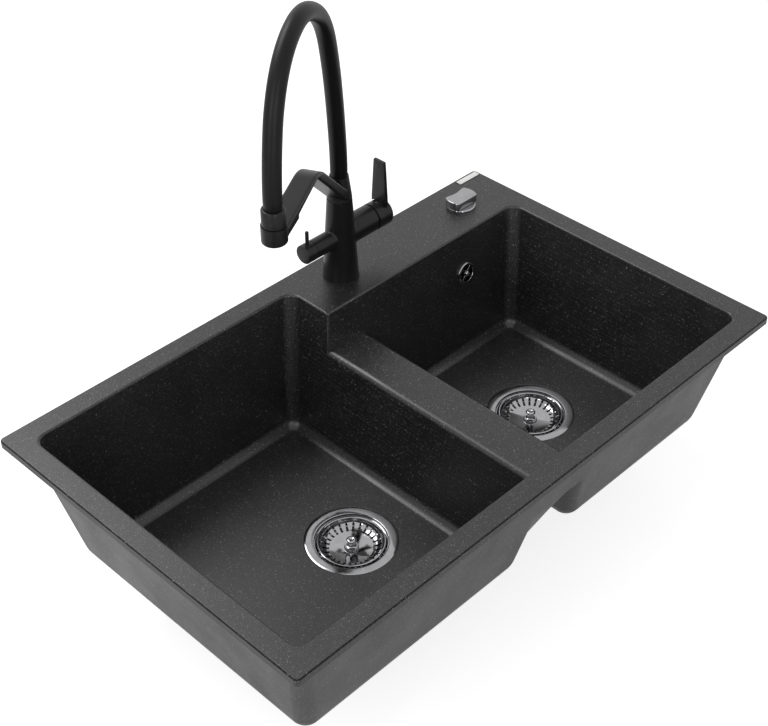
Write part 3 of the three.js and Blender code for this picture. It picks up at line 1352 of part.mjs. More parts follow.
/** Block in the shank's foot with the water inlets. */
function tapInlets() {
  const blockRadius = SHANK_RADIUS - SHANK_WALL - GAP;
  const blockTop = -SHANK_LENGTH + INLET_BLOCK_HEIGHT;
  const block = disc(blockRadius, -SHANK_LENGTH, blockTop, ROUND_SIDES);
  const stub = disc(INLET_RADIUS, -SHANK_LENGTH - INLET_LENGTH, -SHANK_LENGTH + 1, SMALL_SIDES)
    .translate(INLET_CIRCLE, 0, 0);
  const bore = disc(INLET_BORE, -SHANK_LENGTH - INLET_LENGTH - OVERCUT, blockTop + OVERCUT, 8)
    .translate(INLET_CIRCLE, 0, 0);
  return cut(join(block, ...roundZ(stub, INLETS)), ...roundZ(bore, INLETS));
}

/** Thin seal between the column and the deck. */
function tapSeal() {
  return ring(SHANK_RADIUS + 4 * GAP, COLUMN_BASE_RADIUS + 0.6, GAP, GAP + TAP_SEAL_THICKNESS, FINE_SIDES);
}

// ================================================================ spout

const COLLAR_BOTTOM = COLUMN_TOP_HEIGHT + SLIP_RING_THICKNESS + 2 * GAP;
const COLLAR_TOP_HEIGHT = COLLAR_BOTTOM + COLLAR_LENGTH;
const DOCK_TOP_HEIGHT = ARM_TOP_HEIGHT + DOCK_LIP;
const DOCK_BOTTOM_HEIGHT = DOCK_TOP_HEIGHT - DOCK_LENGTH;
const NOZZLE_SEAT = DOCK_TOP_HEIGHT + GAP;
const NOZZLE_TOP_HEIGHT = NOZZLE_SEAT + NOZZLE_BARREL_LENGTH;

/** Low friction ring between the column and the collar. */
function slipRing() {
  const bottom = COLUMN_TOP_HEIGHT + GAP;
  const top = bottom + SLIP_RING_THICKNESS;
  return ring(SPIGOT_OUTER_RADIUS + GAP, COLUMN_TOP_RADIUS - 2 * GAP, bottom, top, ROUND_SIDES);
}

/** The arm's side outline: up from the collar, over the bend and level out to the dock. */
function armOutline() {
  const slope = Math.tan(degrees(ARM_RISE));
  const underside = ARM_TOP_HEIGHT - ARM_THICKNESS;
  const neckDrop = ARM_NECK_THICKNESS / Math.cos(degrees(ARM_RISE));
  const neckTop = (s) => COLLAR_TOP_HEIGHT - ARM_ROOT_DROP + slope * s;
  const topBend = (ARM_TOP_HEIGHT - neckTop(0)) / slope;
  const undersideBend = (underside + neckDrop - neckTop(0)) / slope;
  const root = COLLAR_TOP_RADIUS / 2;
  const blockStart = SPOUT_REACH - DOCK_BLOCK_LENGTH;
  const blockBottom = DOCK_BOTTOM_HEIGHT + DOCK_BLOCK_RISE;
  const corners = [
    [root, neckTop(root)],
    [root, neckTop(root) - neckDrop],
    [undersideBend, underside],
    [blockStart, underside],
    [blockStart, blockBottom],
    [SPOUT_REACH, blockBottom],
    [SPOUT_REACH, ARM_TOP_HEIGHT],
    [topBend, ARM_TOP_HEIGHT],
  ];
  return rounded(corners, [0, 0, 12, 0, 0, 0, 0, 12 + ARM_THICKNESS], 4);
}

/** Swivel collar, arm and dock cup in one casting. */
function dockingArm() {
  const collar = turned([
    [0, COLLAR_BOTTOM],
    [COLUMN_TOP_RADIUS, COLLAR_BOTTOM],
    [COLLAR_TOP_RADIUS, COLLAR_TOP_HEIGHT],
    [0, COLLAR_TOP_HEIGHT],
  ], FINE_SIDES);
  const halfWidth = ARM_WIDTH / 2;
  const strap = prism(armOutline(), -halfWidth, halfWidth, { round: ARM_EDGE_ROUND }).rotateX(Math.PI / 2);
  const dock = turned([
    [0, DOCK_BOTTOM_HEIGHT],
    [DOCK_RADIUS - 1.5, DOCK_BOTTOM_HEIGHT],
    [DOCK_RADIUS, DOCK_BOTTOM_HEIGHT + 1.5],
    [DOCK_RADIUS, DOCK_TOP_HEIGHT],
    [0, DOCK_TOP_HEIGHT],
  ], FINE_SIDES).translate(SPOUT_REACH, 0, 0);
  const bore = (radius, bottom, top) => disc(radius, bottom - OVERCUT, top + OVERCUT, ROUND_SIDES);
  const dockBore = bore(DOCK_BORE_RADIUS, DOCK_BOTTOM_HEIGHT, DOCK_TOP_HEIGHT).translate(SPOUT_REACH, 0, 0);
  const swivelBore = bore(SPIGOT_OUTER_RADIUS + GAP, COLLAR_BOTTOM, SPIGOT_TOP_HEIGHT + GAP - OVERCUT);
  const waterWay = bore(SPIGOT_INNER_RADIUS, COLLAR_BOTTOM, COLLAR_TOP_HEIGHT);
  return cut(join(collar, strap, dock), dockBore, swivelBore, waterWay);
}

/** Soft hose from the collar, over in an arch and down to the nozzle. */
function spoutHose() {
  const rise = [[0, GAP], ...HOSE_RISE].map(([s, z]) => new THREE.Vector3(s, 0, COLLAR_TOP_HEIGHT + z));
  const fall = [...HOSE_FALL, [0, GAP]].map(([s, z]) => (
    new THREE.Vector3(SPOUT_REACH + s, 0, NOZZLE_TOP_HEIGHT + z)
  ));
  const section = circle(HOSE_RADIUS, HOSE_SIDES).map(([x, y]) => new THREE.Vector2(x, y));
  return new THREE.ExtrudeGeometry(new THREE.Shape(section), {
    steps: HOSE_STEPS,
    extrudePath: new THREE.CatmullRomCurve3([...rise, ...fall], false, 'centripetal'),
  });
}

/** Nozzle that stands in the dock, open below for the aerator. */
function sprayNozzle() {
  const shankRadius = DOCK_BORE_RADIUS - GAP;
  const bottom = DOCK_BOTTOM_HEIGHT + 1;
  const bridgeHeight = NOZZLE_SEAT + 4;
  return turned([
    [NOZZLE_BORE_RADIUS, bottom],
    [shankRadius, bottom],
    [shankRadius, NOZZLE_SEAT],
    [NOZZLE_RADIUS, NOZZLE_SEAT],
    [NOZZLE_RADIUS, NOZZLE_TOP_HEIGHT - 0.8],
    [NOZZLE_RADIUS - 0.8, NOZZLE_TOP_HEIGHT],
    [SPIGOT_INNER_RADIUS, NOZZLE_TOP_HEIGHT],
    [SPIGOT_INNER_RADIUS, bridgeHeight],
    [NOZZLE_BORE_RADIUS, bridgeHeight],
  ], FINE_SIDES).translate(SPOUT_REACH, 0, 0);
}

/** Aerator insert in the nozzle's mouth. */
function aerator() {
  const bottom = DOCK_BOTTOM_HEIGHT + 0.5;
  const plate = disc(NOZZLE_BORE_RADIUS - GAP, bottom, bottom + AERATOR_THICKNESS, ROUND_SIDES);
  const jet = disc(1.1, bottom - OVERCUT, bottom + AERATOR_THICKNESS + OVERCUT, 6);
  const jets = [...roundZ(jet.clone().translate(5.5, 0, 0), 8), jet];
  return cut(plate, ...jets).translate(SPOUT_REACH, 0, 0);
}

function spout() {
  const group = new THREE.Group();
  group.rotation.z = degrees(SPOUT_TURN);
  group.add(
    piece('docking_arm', dockingArm(), MATERIALS.black),
    piece('spout_hose', spoutHose(), MATERIALS.hose),
    piece('spray_nozzle', sprayNozzle(), MATERIALS.black),
    piece('aerator', aerator(), MATERIALS.plastic),
  );
  return group;
}

function tap() {
  const group = new THREE.Group();
  group.position.set(TAP_X, DECK_HOLE_Y, RIM_THICKNESS);
  const rubberTop = -RIM_THICKNESS - GAP;
  const steelTop = rubberTop - TAP_RUBBER_THICKNESS - GAP;
  const nutTop = steelTop - TAP_STEEL_THICKNESS - GAP;
  group.add(
    piece('tap_seal', tapSeal(), MATERIALS.rubber),
    piece('tap_body', tapBody(), MATERIALS.black),
    piece('tap_shank', tapShank(), MATERIALS.brass),
    piece('tap_inlets', tapInlets(), MATERIALS.brass),
    piece(
      'tap_rubber_washer',
      deckWasher(SHANK_RADIUS, TAP_WASHER_RADIUS, rubberTop, TAP_RUBBER_THICKNESS),
      MATERIALS.rubber,
    ),
    piece(
      'tap_steel_washer',
      deckWasher(SHANK_RADIUS, TAP_WASHER_RADIUS - 1, steelTop, TAP_STEEL_THICKNESS),
      MATERIALS.steel,
    ),
    piece('tap_nut', deckNut(SHANK_RADIUS, TAP_NUT_RADIUS, nutTop, TAP_NUT_HEIGHT), MATERIALS.brass),
    piece('mixer_cartridge', mixerCartridge(), MATERIALS.ceramic),
    piece('cartridge_ring', cartridgeRing(), MATERIALS.brass),
    piece('mixer_spindle', mixerSpindle(), MATERIALS.brass),
    piece('mixer_hub', mixerHub(), MATERIALS.black),
    piece('lever_pin', leverPin(), MATERIALS.steel),
    piece('hub_grub_screw', hubGrubScrew(), MATERIALS.steel),
    piece('mixer_lever', mixerLever(), MATERIALS.black),
    piece('filter_headwork', filterHeadwork(), MATERIALS.ceramic),
    piece('filter_spindle', filterSpindle(), MATERIALS.brass),
    piece('filter_hub', filterHub(), MATERIALS.black),
    piece('filter_lever', filterLever(), MATERIALS.black),
    piece('slip_ring', slipRing(), MATERIALS.plastic),
    spout(),
  );
  return group;
}

// ================================================================ the whole sink

const sink = new THREE.Group();
sink.add(
  ...sinkPieces(),
  piece('name_plate', namePlate(), MATERIALS.plate),
  waste('left', LEFT_DRAIN, LEFT_BOWL.floor, LEFT_SCREW_RADIUS, false),
  waste('right', RIGHT_DRAIN, RIGHT_BOWL.floor, RIGHT_SCREW_RADIUS, true),
  ...overflow(),
  wasteControl(),
  tap(),
);

export default sink;
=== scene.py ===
"""Looks of an inset double bowl kitchen sink with a hose spout mixer tap.

Lengths in the classes are millimetres in each sub-assembly's own place. Meshes are built in millimetres
and brought to metres when they are dressed.
"""

import json
import logging
import math
from collections.abc import Callable, Sequence
from dataclasses import dataclass, replace
from enum import Enum
from functools import cached_property

import bmesh
import bpy
from mathutils import Matrix, Vector


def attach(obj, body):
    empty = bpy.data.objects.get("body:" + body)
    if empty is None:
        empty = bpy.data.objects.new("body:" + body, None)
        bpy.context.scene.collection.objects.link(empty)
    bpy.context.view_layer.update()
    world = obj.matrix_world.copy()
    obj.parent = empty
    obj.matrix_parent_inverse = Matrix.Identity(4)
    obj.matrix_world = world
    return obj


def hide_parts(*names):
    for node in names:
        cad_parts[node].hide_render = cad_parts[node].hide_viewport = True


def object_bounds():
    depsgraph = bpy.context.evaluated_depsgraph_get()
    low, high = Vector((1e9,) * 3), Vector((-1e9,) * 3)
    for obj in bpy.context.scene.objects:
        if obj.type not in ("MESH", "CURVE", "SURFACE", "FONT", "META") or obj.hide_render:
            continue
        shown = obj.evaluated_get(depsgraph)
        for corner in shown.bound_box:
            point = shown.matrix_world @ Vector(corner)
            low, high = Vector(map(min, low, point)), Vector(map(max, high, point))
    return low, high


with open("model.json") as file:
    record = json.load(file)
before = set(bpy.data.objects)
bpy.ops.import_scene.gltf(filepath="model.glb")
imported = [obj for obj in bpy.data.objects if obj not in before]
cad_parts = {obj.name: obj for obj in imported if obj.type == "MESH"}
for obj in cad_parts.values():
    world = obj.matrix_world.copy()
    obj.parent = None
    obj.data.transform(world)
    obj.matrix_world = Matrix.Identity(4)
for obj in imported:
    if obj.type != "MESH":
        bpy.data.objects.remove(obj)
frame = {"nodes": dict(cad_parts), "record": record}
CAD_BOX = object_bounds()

Pair = tuple[float, float]
Triple = tuple[float, float, float]
Color = tuple[float, float, float]
ByHeight = Callable[[float], float]

LOG = logging.getLogger("sink")
MM = 0.001
GAP = 0.3  # the gap in mm that neighbouring pieces keep, as the solids do
WELD = 1e-5  # points closer than this, in mm, are one
SMUDGES: Pair = (0.3, 0.7)  # values of the smudge pattern between which a finish changes


# ---------------------------------------------------------------- outlines


def rounded(corners: Sequence[Pair], radii: float | Sequence[float], steps: int) -> list[Pair]:
    """Rounds the corners of a closed outline.

    Args:
        corners: the outline's corners, anticlockwise.
        radii: one radius, or one for each corner; 0 keeps a corner sharp.
        steps: facets in each rounded corner.

    Returns:
        The points of the rounded outline.
    """
    outline: list[Pair] = []
    count = len(corners)
    for i, corner in enumerate(corners):
        radius = radii if isinstance(radii, (int, float)) else radii[i]
        if radius <= 0:
            outline.append(tuple(corner))
            continue
        here = Vector(corner)
        back = (Vector(corners[i - 1]) - here).normalized()
        ahead = (Vector(corners[(i + 1) % count]) - here).normalized()
        angle = math.acos(max(-1.0, min(1.0, back.dot(ahead))))
        centre = here + (back + ahead).normalized() * radius / math.sin(angle / 2)
        start = here + back * radius / math.tan(angle / 2) - centre
        end = here + ahead * radius / math.tan(angle / 2) - centre
        turn = math.pi - angle
        for k in range(steps + 1):
            share = k / steps
            near, far = math.sin((1 - share) * turn), math.sin(share * turn)
            outline.append(tuple(centre + (start * near + end * far) / math.sin(turn)))
    return outline


def circle(radius: float, sides: int) -> list[Pair]:
    """The points of a circle, anticlockwise.

    Args:
        radius: the circle's radius.
        sides: how many points it has.

    Returns:
        The points, the first on the X axis.
    """
    return [
        (radius * math.cos(2 * math.pi * k / sides), radius * math.sin(2 * math.pi * k / sides))
        for k in range(sides)
    ]


def rectangle(left: float, right: float, front: float, back: float) -> list[Pair]:
    """The corners of a rectangle, anticlockwise."""
    return [(left, front), (right, front), (right, back), (left, back)]


# ---------------------------------------------------------------- meshes


def shade_smooth(mesh: bpy.types.Mesh, angle: float) -> None:
    """Shades a mesh smooth across edges up to an angle in degrees."""
    mesh.polygons.foreach_set("use_smooth", [True] * len(mesh.polygons))
    mesh.set_sharp_from_angle(angle=math.radians(angle))


class Form:
    """A mesh in millimetres that can be joined, cut, softened and at last dressed as a piece."""

    def __init__(self, mesh: bpy.types.Mesh) -> None:
        """Holds a mesh as a scratch object."""
        self.obj = bpy.data.objects.new("form", mesh)
        bpy.context.scene.collection.objects.link(self.obj)

    @classmethod
    def from_faces(cls, points: Sequence[Sequence[float]], faces: Sequence[Sequence[int]]) -> "Form":
        """Builds a form from points and faces and turns its faces outwards.

        Args:
            points: the corners in millimetres.
            faces: each face as places in that list.

        Returns:
            The new form.
        """
        mesh = bpy.data.meshes.new("form")
        mesh.from_pydata([tuple(p) for p in points], [], [tuple(f) for f in faces])
        work = bmesh.new()
        work.from_mesh(mesh)
        bmesh.ops.remove_doubles(work, verts=work.verts, dist=WELD)
        bmesh.ops.recalc_face_normals(work, faces=work.faces)
        work.to_mesh(mesh)
        work.free()
        return cls(mesh)

    @classmethod
    def turned(cls, profile: Sequence[Pair], sides: int = 64) -> "Form":
        """A body of revolution about Z.

        Args:
            profile: [radius, height] pairs that start and end on the axis, or close on themselves.
            sides: facets round the axis.

        Returns:
            The new form.
        """
        on_axis = profile[0][0] == 0 and profile[-1][0] == 0
        points = [
            (r * math.cos(2 * math.pi * k / sides), r * math.sin(2 * math.pi * k / sides), z)
            for k in range(sides)
            for r, z in profile
        ]
        count = len(profile)
        faces = []
        for k in range(sides):
            here, there = k * count, ((k + 1) % sides) * count
            for i in range(count - 1 if on_axis else count):
                j = (i + 1) % count
                corners = [here + i, there + i, there + j, here + j]
                if profile[i][0] == 0:
                    corners.remove(there + i)
                if profile[j][0] == 0:
                    corners.remove(there + j)
                if len(corners) > 2:
                    faces.append(corners)
        return cls.from_faces(points, faces)

    @classmethod
    def disc(cls, radius: float, bottom: float, top: float, sides: int = 48, soft: float = 0.0) -> "Form":
        """A round bar about Z, with both edges rounded by soft.

        Args:
            radius: the bar's radius.
            bottom: the height of its lower end.
            top: the height of its upper end.
            sides: facets round it.
            soft: radius of its rounded edges; 0 keeps them sharp.

        Returns:
            The new form.
        """
        if not soft:
            return cls.turned([(0, bottom), (radius, bottom), (radius, top), (0, top)], sides)
        low = [(radius - soft + soft * math.sin(a), bottom + soft - soft * math.cos(a)) for a in quarter(4)]
        high = [(radius - soft + soft * math.cos(a), top - soft + soft * math.sin(a)) for a in quarter(4)]
        return cls.turned([(0, bottom), *low, *high, (0, top)], sides)

    @classmethod
    def through(cls, points: Sequence[Sequence[float]], count: int) -> "Form":
        """A solid through rings of equally many points, closed at both ends.

        Args:
            points: the points of one ring after the other.
            count: points in each ring.

        Returns:
            The new form.
        """
        last = len(points) - count
        faces: list[Sequence[int]] = [range(count)[::-1]]
        for start in range(0, last, count):
            for k in range(count):
                low, after = start + k, start + (k + 1) % count
                faces.append([low, after, after + count, low + count])
        faces.append(range(last, last + count))
        return cls.from_faces(points, faces)

    @classmethod
    def loft(cls, levels: Sequence[tuple[Sequence[Pair], float]]) -> "Form":
        """A solid through level outlines with equal numbers of points, from the lowest up."""
        points = [(x, y, z) for outline, z in levels for x, y in outline]
        return cls.through(points, len(levels[0][0]))

    @classmethod
    def prism(cls, outline: Sequence[Pair], bottom: float, top: float) -> "Form":
        """An outline raised along Z."""
        return cls.loft([(outline, bottom), (outline, top)])

    @classmethod
    def block(cls, size: Triple, centre: Triple) -> "Form":
        """A box by its size and centre."""
        x, y, z = (side / 2 for side in size)
        return cls.prism(rectangle(-x, x, -y, y), -z, z).move(*centre)

    @classmethod
    def tube(cls, route: Sequence[Vector], radius: float | Callable[[float], float], sides: int) -> "Form":
        """A round tube in the XZ plane along a route, with flat ends square to it.

        Args:
            route: the centre line's points, all with y = 0.
            radius: one radius, or a function of the share of the route passed.
            sides: facets round the tube.

        Returns:
            The new form.
        """
        points = []
        last = len(route) - 1
        for i, place in enumerate(route):
            along = (route[min(i + 1, last)] - route[max(i - 1, 0)]).normalized()
            if i in (0, last):
                along = Vector((0, 0, 1 if i == 0 else -1))
            across = Vector((0, 1, 0))
            out = along.cross(across)
            size = radius(i / last) if callable(radius) else radius
            for x, y in circle(size, sides):
                points.append(place + across * x + out * y)
        return cls.through(points, sides)

    def _add(self, kind: str, **settings: object) -> None:
        """Adds one modifier.

        Args:
            kind: Blender's name for it.
            settings: its settings by name, set in this order.
        """
        modifier = self.obj.modifiers.new(kind.lower(), kind)
        for key, value in settings.items():
            setattr(modifier, key, value)

    def _apply(self) -> "Form":
        """Bakes every modifier into the mesh.

        Returns:
            This form.
        """
        bpy.context.view_layer.update()
        graph = bpy.context.evaluated_depsgraph_get()
        mesh = bpy.data.meshes.new_from_object(self.obj.evaluated_get(graph))
        self.obj.modifiers.clear()
        self.obj.data = mesh
        return self

    def _boolean(self, tools: Sequence["Form"], operation: str) -> "Form":
        """Joins, cuts or keeps the common part with other forms, which are used up.

        Args:
            tools: the other forms.
            operation: Blender's name for the operation.

        Returns:
            This form.
        """
        for tool in tools:
            self._add("BOOLEAN", operation=operation, solver="EXACT", object=tool.obj)
        self._apply()
        for tool in tools:
            tool.discard()
        return self

    def join(self, *tools: "Form") -> "Form":
        """Adds other forms."""
        return self._boolean(tools, "UNION")

    def cut(self, *tools: "Form") -> "Form":
        """Takes other forms away."""
        return self._boolean(tools, "DIFFERENCE")

    def common(self, *tools: "Form") -> "Form":
        """Keeps what is shared with other forms."""
        return self._boolean(tools, "INTERSECT")

    def discard(self) -> None:
        """Deletes the scratch object."""
        bpy.data.objects.remove(self.obj)

    def move(self, x: float, y: float, z: float) -> "Form":
        """Shifts the mesh."""
        self.obj.data.transform(Matrix.Translation((x, y, z)))
        return self

    def turn(self, degrees: float, axis: str) -> "Form":
        """Turns the mesh about an axis through the origin."""
        self.obj.data.transform(Matrix.Rotation(math.radians(degrees), 4, axis))
        return self

    def place(self, matrix: Matrix) -> "Form":
        """Moves the mesh by a matrix."""
        self.obj.data.transform(matrix)
        return self

    def copies(self, count: int) -> "Form":
        """Repeats the mesh evenly round Z, all in one form.

        Args:
            count: how many there are in all.

        Returns:
            This form.
        """
        work = bmesh.new()
        for k in range(count):
            mesh = self.obj.data.copy()
            mesh.transform(Matrix.Rotation(2 * math.pi * k / count, 4, "Z"))
            work.from_mesh(mesh)
            bpy.data.meshes.remove(mesh)
        work.to_mesh(self.obj.data)
        work.free()
        return self

    def bevel(self, width: float, segments: int = 3, angle: float = 35.0) -> "Form":
        """Rounds every edge sharper than an angle in degrees.

        Args:
            width: how far each edge is cut back.
            segments: facets across the round.
            angle: the angle in degrees from which an edge is rounded.

        Returns:
            This form.
        """
        limit = math.radians(angle)
        self._add("BEVEL", width=width, segments=segments, limit_method="ANGLE", angle_limit=limit)
        return self._apply()

    def cast(self, voxel: float, smoothing: int, keep: float) -> "Form":
        """Melts the form into one skin with soft inside corners, like a casting.

        Args:
            voxel: the skin's grid.
            smoothing: how many smoothing steps follow.
            keep: share of the faces that stay.

        Returns:
            This form.
        """
        self._add("REMESH", mode="VOXEL", voxel_size=voxel)
        self._add("SMOOTH", factor=0.5, iterations=smoothing)
        self._add("DECIMATE", ratio=keep)
        return self._apply()

    def weighted(self) -> "Form":
        """Lets large faces rule the shading, so that flats look flat beside their fillets."""
        self._add("WEIGHTED_NORMAL", keep_sharp=True, weight=80)
        return self._apply()

    def smooth(self, angle: float = 30.0) -> "Form":
        """Shades smooth across edges up to an angle in degrees."""
        shade_smooth(self.obj.data, angle)
        return self


def spread(first: float, last: float, steps: int) -> list[float]:
    """Evenly spaced values from first to last, both included."""
    return [first + (last - first) * k / steps for k in range(steps + 1)]


def quarter(steps: int) -> list[float]:
    """Angles that step through a quarter turn."""
    return spread(0.0, math.pi / 2, steps)


def evenly(points: Sequence[Vector], steps: int) -> list[Vector]:
    """Points at equal distances along a line of many points.

    Args:
        points: the line's points.
        steps: how many equal stretches there are.

    Returns:
        The new points, with both ends.
    """
    travelled = [0.0]
    for before, after in zip(points, points[1:]):
        travelled.append(travelled[-1] + (after - before).length)
    result, i = [], 0
    for wanted in spread(0.0, travelled[-1], steps):
        while i < len(points) - 2 and travelled[i + 1] < wanted:
            i += 1
        share = (wanted - travelled[i]) / (travelled[i + 1] - travelled[i])
        result.append(points[i].lerp(points[i + 1], min(1.0, share)))
    return result


# ---------------------------------------------------------------- shader node groups


class Nodes:
    """Short ways to lay out nodes in one tree."""

    def __init__(self, tree: bpy.types.NodeTree) -> None:
        """Works on the given tree."""
        self.tree = tree

    def add(self, kind: str, **inputs: object) -> bpy.types.Node:
        """Adds a node; keywords set its properties, or its inputs where it has no such property.

        Args:
            kind: Blender's name for the node.
            inputs: its properties and inputs by name.

        Returns:
            The node.
        """
        node = self.tree.nodes.new(kind)
        for key, value in inputs.items():
            if hasattr(node, key):
                setattr(node, key, value)
            else:
                self.feed(node.inputs[key.replace("_", " ")], value)
        return node

    def feed(self, socket: bpy.types.NodeSocket, value: object) -> None:
        """Links an output to a socket, or sets the socket's own value.

        Args:
            socket: the input to fill.
            value: an output to link, or a value to set.
        """
        if isinstance(value, bpy.types.NodeSocket):
            self.tree.links.new(value, socket)
        else:
            socket.default_value = value

    def math(
        self, operation: str, first: object, second: object = 0.0, third: object = 0.0,
    ) -> bpy.types.NodeSocket:
        """Adds a math node.

        Args:
            operation: Blender's name for the operation.
            first: the first input, an output or a number.
            second: the second input.
            third: the third input.

        Returns:
            The result.
        """
        node = self.tree.nodes.new("ShaderNodeMath")
        node.operation = operation
        for socket, value in zip(node.inputs, (first, second, third)):
            self.feed(socket, value)
        return node.outputs[0]

    def blend(self, share: object, first: object, second: object) -> bpy.types.NodeSocket:
        """Adds a color mix.

        Args:
            share: how much of the second color shows, from 0 to 1.
            first: the first color.
            second: the second color.

        Returns:
            The mixed color.
        """
        node = self.tree.nodes.new("ShaderNodeMix")
        node.data_type = "RGBA"
        for socket, value in zip((node.inputs[0], node.inputs[6], node.inputs[7]), (share, first, second)):
            if isinstance(value, tuple) and len(value) == 3:
                value = (*value, 1.0)
            self.feed(socket, value)
        return node.outputs[2]

    def span(
        self, value: object, low: float, high: float, to_low: float = 0.0, to_high: float = 1.0,
    ) -> bpy.types.NodeSocket:
        """Maps a range to another, held at its ends.

        Args:
            value: the value to map.
            low: where the range starts.
            high: where the range ends.
            to_low: what its start becomes.
            to_high: what its end becomes.

        Returns:
            The mapped value.
        """
        node = self.tree.nodes.new("ShaderNodeMapRange")
        for socket, setting in zip(node.inputs, (value, low, high, to_low, to_high)):
            self.feed(socket, setting)
        return node.outputs[0]

    def place(self) -> bpy.types.NodeSocket:
        """The shaded point's place in the object, in metres."""
        return self.add("ShaderNodeTexCoord").outputs["Object"]

    def relief(self, shader: bpy.types.Node, strength: float, depth_mm: float, height: object) -> None:
        """Gives a shader fine relief from a pattern of heights."""
        bump = self.add("ShaderNodeBump", Strength=strength, Distance=depth_mm * MM, Height=height)
        self.feed(shader.inputs["Normal"], bump.outputs[0])


class Effects:
    """The node groups that several finishes share, each built when it is first asked for."""

    @staticmethod
    def _start(
        name: str, inputs: Sequence[tuple[str, str, object]], outputs: Sequence[tuple[str, str]],
    ) -> tuple[Nodes, bpy.types.Node, bpy.types.Node]:
        """Makes an empty group with its sockets.

        Args:
            name: the group's name.
            inputs: name, socket type and first value of each input.
            outputs: name and socket type of each output.

        Returns:
            The group's nodes, its input node and its output node.
        """
        group = bpy.data.node_groups.new(name, "ShaderNodeTree")
        for label, kind, value in inputs:
            socket = group.interface.new_socket(name=label, in_out="INPUT", socket_type=kind)
            socket.default_value = value
        for label, kind in outputs:
            group.interface.new_socket(name=label, in_out="OUTPUT", socket_type=kind)
        return Nodes(group), group.nodes.new("NodeGroupInput"), group.nodes.new("NodeGroupOutput")

    @cached_property
    def flecks(self) -> bpy.types.NodeTree:
        """Fine light grains strewn through stone: a mask of the flecks and a soft mottle.

        Returns:
            The group.
        """
        nodes, entry, leave = self._start(
            "stone_flecks",
            [("Fleck Size", "NodeSocketFloat", 0.9), ("Share", "NodeSocketFloat", 0.1)],
            [("Mask", "NodeSocketFloat"), ("Mottle", "NodeSocketFloat")],
        )
        place = nodes.place()
        per_metre = nodes.math("DIVIDE", 1000.0, entry.outputs["Fleck Size"])
        cells = nodes.add("ShaderNodeTexVoronoi", Vector=place, Scale=per_metre)
        chance = nodes.add("ShaderNodeSeparateColor", Color=cells.outputs["Color"])
        limit = nodes.math("SUBTRACT", 1.0, entry.outputs["Share"])
        chosen = nodes.math("GREATER_THAN", chance.outputs[0], limit)
        size = nodes.span(chance.outputs[1], 0.0, 1.0, 0.16, 0.42)
        inside = nodes.math("LESS_THAN", cells.outputs["Distance"], size)
        strength = nodes.span(chance.outputs[2], 0.0, 1.0, 0.25, 1.0)
        mask = nodes.math("MULTIPLY", nodes.math("MULTIPLY", chosen, inside), strength)
        cloud = nodes.add("ShaderNodeTexNoise", Vector=place, Scale=55.0, Detail=4.0, Roughness=0.6)
        nodes.feed(leave.inputs["Mask"], mask)
        nodes.feed(leave.inputs["Mottle"], cloud.outputs["Fac"])
        return nodes.tree

    @cached_property
    def grain(self) -> bpy.types.NodeTree:
        """Fine even roughness of a coated, moulded or cast surface, with broad smudges over it.

        Returns:
            The group.
        """
        nodes, entry, leave = self._start(
            "surface_grain",
            [("Grain Size", "NodeSocketFloat", 0.4), ("Smudge Size", "NodeSocketFloat", 30.0)],
            [("Height", "NodeSocketFloat"), ("Smudge", "NodeSocketFloat")],
        )
        place = nodes.place()
        grains = nodes.math("DIVIDE", 1000.0, entry.outputs["Grain Size"])
        fine = nodes.add("ShaderNodeTexNoise", Vector=place, Scale=grains, Detail=2.0, Roughness=0.5)
        smudges = nodes.math("DIVIDE", 1000.0, entry.outputs["Smudge Size"])
        broad = nodes.add("ShaderNodeTexNoise", Vector=place, Scale=smudges, Detail=5.0, Roughness=0.62)
        nodes.feed(leave.inputs["Height"], fine.outputs["Fac"])
        nodes.feed(leave.inputs["Smudge"], broad.outputs["Fac"])
        return nodes.tree

    @cached_property
    def turning(self) -> bpy.types.NodeTree:
        """Fine rings left by polishing a round piece about its own upright axis.

        Returns:
            The group.
        """
        nodes, entry, leave = self._start(
            "turning_rings",
            [("Centre", "NodeSocketVector", (0.0, 0.0, 0.0)), ("Ring Width", "NodeSocketFloat", 0.25)],
            [("Rings", "NodeSocketFloat")],
        )
        place = nodes.place()
        offset = nodes.add("ShaderNodeVectorMath", operation="SUBTRACT")
        nodes.feed(offset.inputs[0], place)
        nodes.feed(offset.inputs[1], entry.outputs["Centre"])
        parts = nodes.add("ShaderNodeSeparateXYZ", Vector=offset.outputs[0])
        square = nodes.math("MULTIPLY", parts.outputs[0], parts.outputs[0])
        radius = nodes.math("SQRT", nodes.math("MULTIPLY_ADD", parts.outputs[1], parts.outputs[1], square))
        scaled = nodes.math("DIVIDE", nodes.math("MULTIPLY", radius, 1000.0), entry.outputs["Ring Width"])
        rings = nodes.add("ShaderNodeTexNoise", noise_dimensions="1D", W=scaled, Scale=1.0, Detail=3.0)
        nodes.feed(leave.inputs["Rings"], rings.outputs["Fac"])
        return nodes.tree

    @cached_property
    def worn_edges(self) -> bpy.types.NodeTree:
        """A mask of raised edges, broken up by noise.

        Returns:
            The group.
        """
        nodes, entry, leave = self._start(
            "worn_edges", [("Amount", "NodeSocketFloat", 0.5)], [("Mask", "NodeSocketFloat")],
        )
        place = nodes.place()
        raised = nodes.span(nodes.add("ShaderNodeNewGeometry").outputs["Pointiness"], 0.505, 0.57)
        breaks = nodes.add("ShaderNodeTexNoise", Vector=place, Scale=160.0, Detail=4.0, Roughness=0.7)
        broken = nodes.span(breaks.outputs["Fac"], 0.42, 0.68)
        mask = nodes.math("MULTIPLY", nodes.math("MULTIPLY", raised, broken), entry.outputs["Amount"])
        nodes.feed(leave.inputs["Mask"], mask)
        return nodes.tree


EFFECTS = Effects()


# ---------------------------------------------------------------- finishes


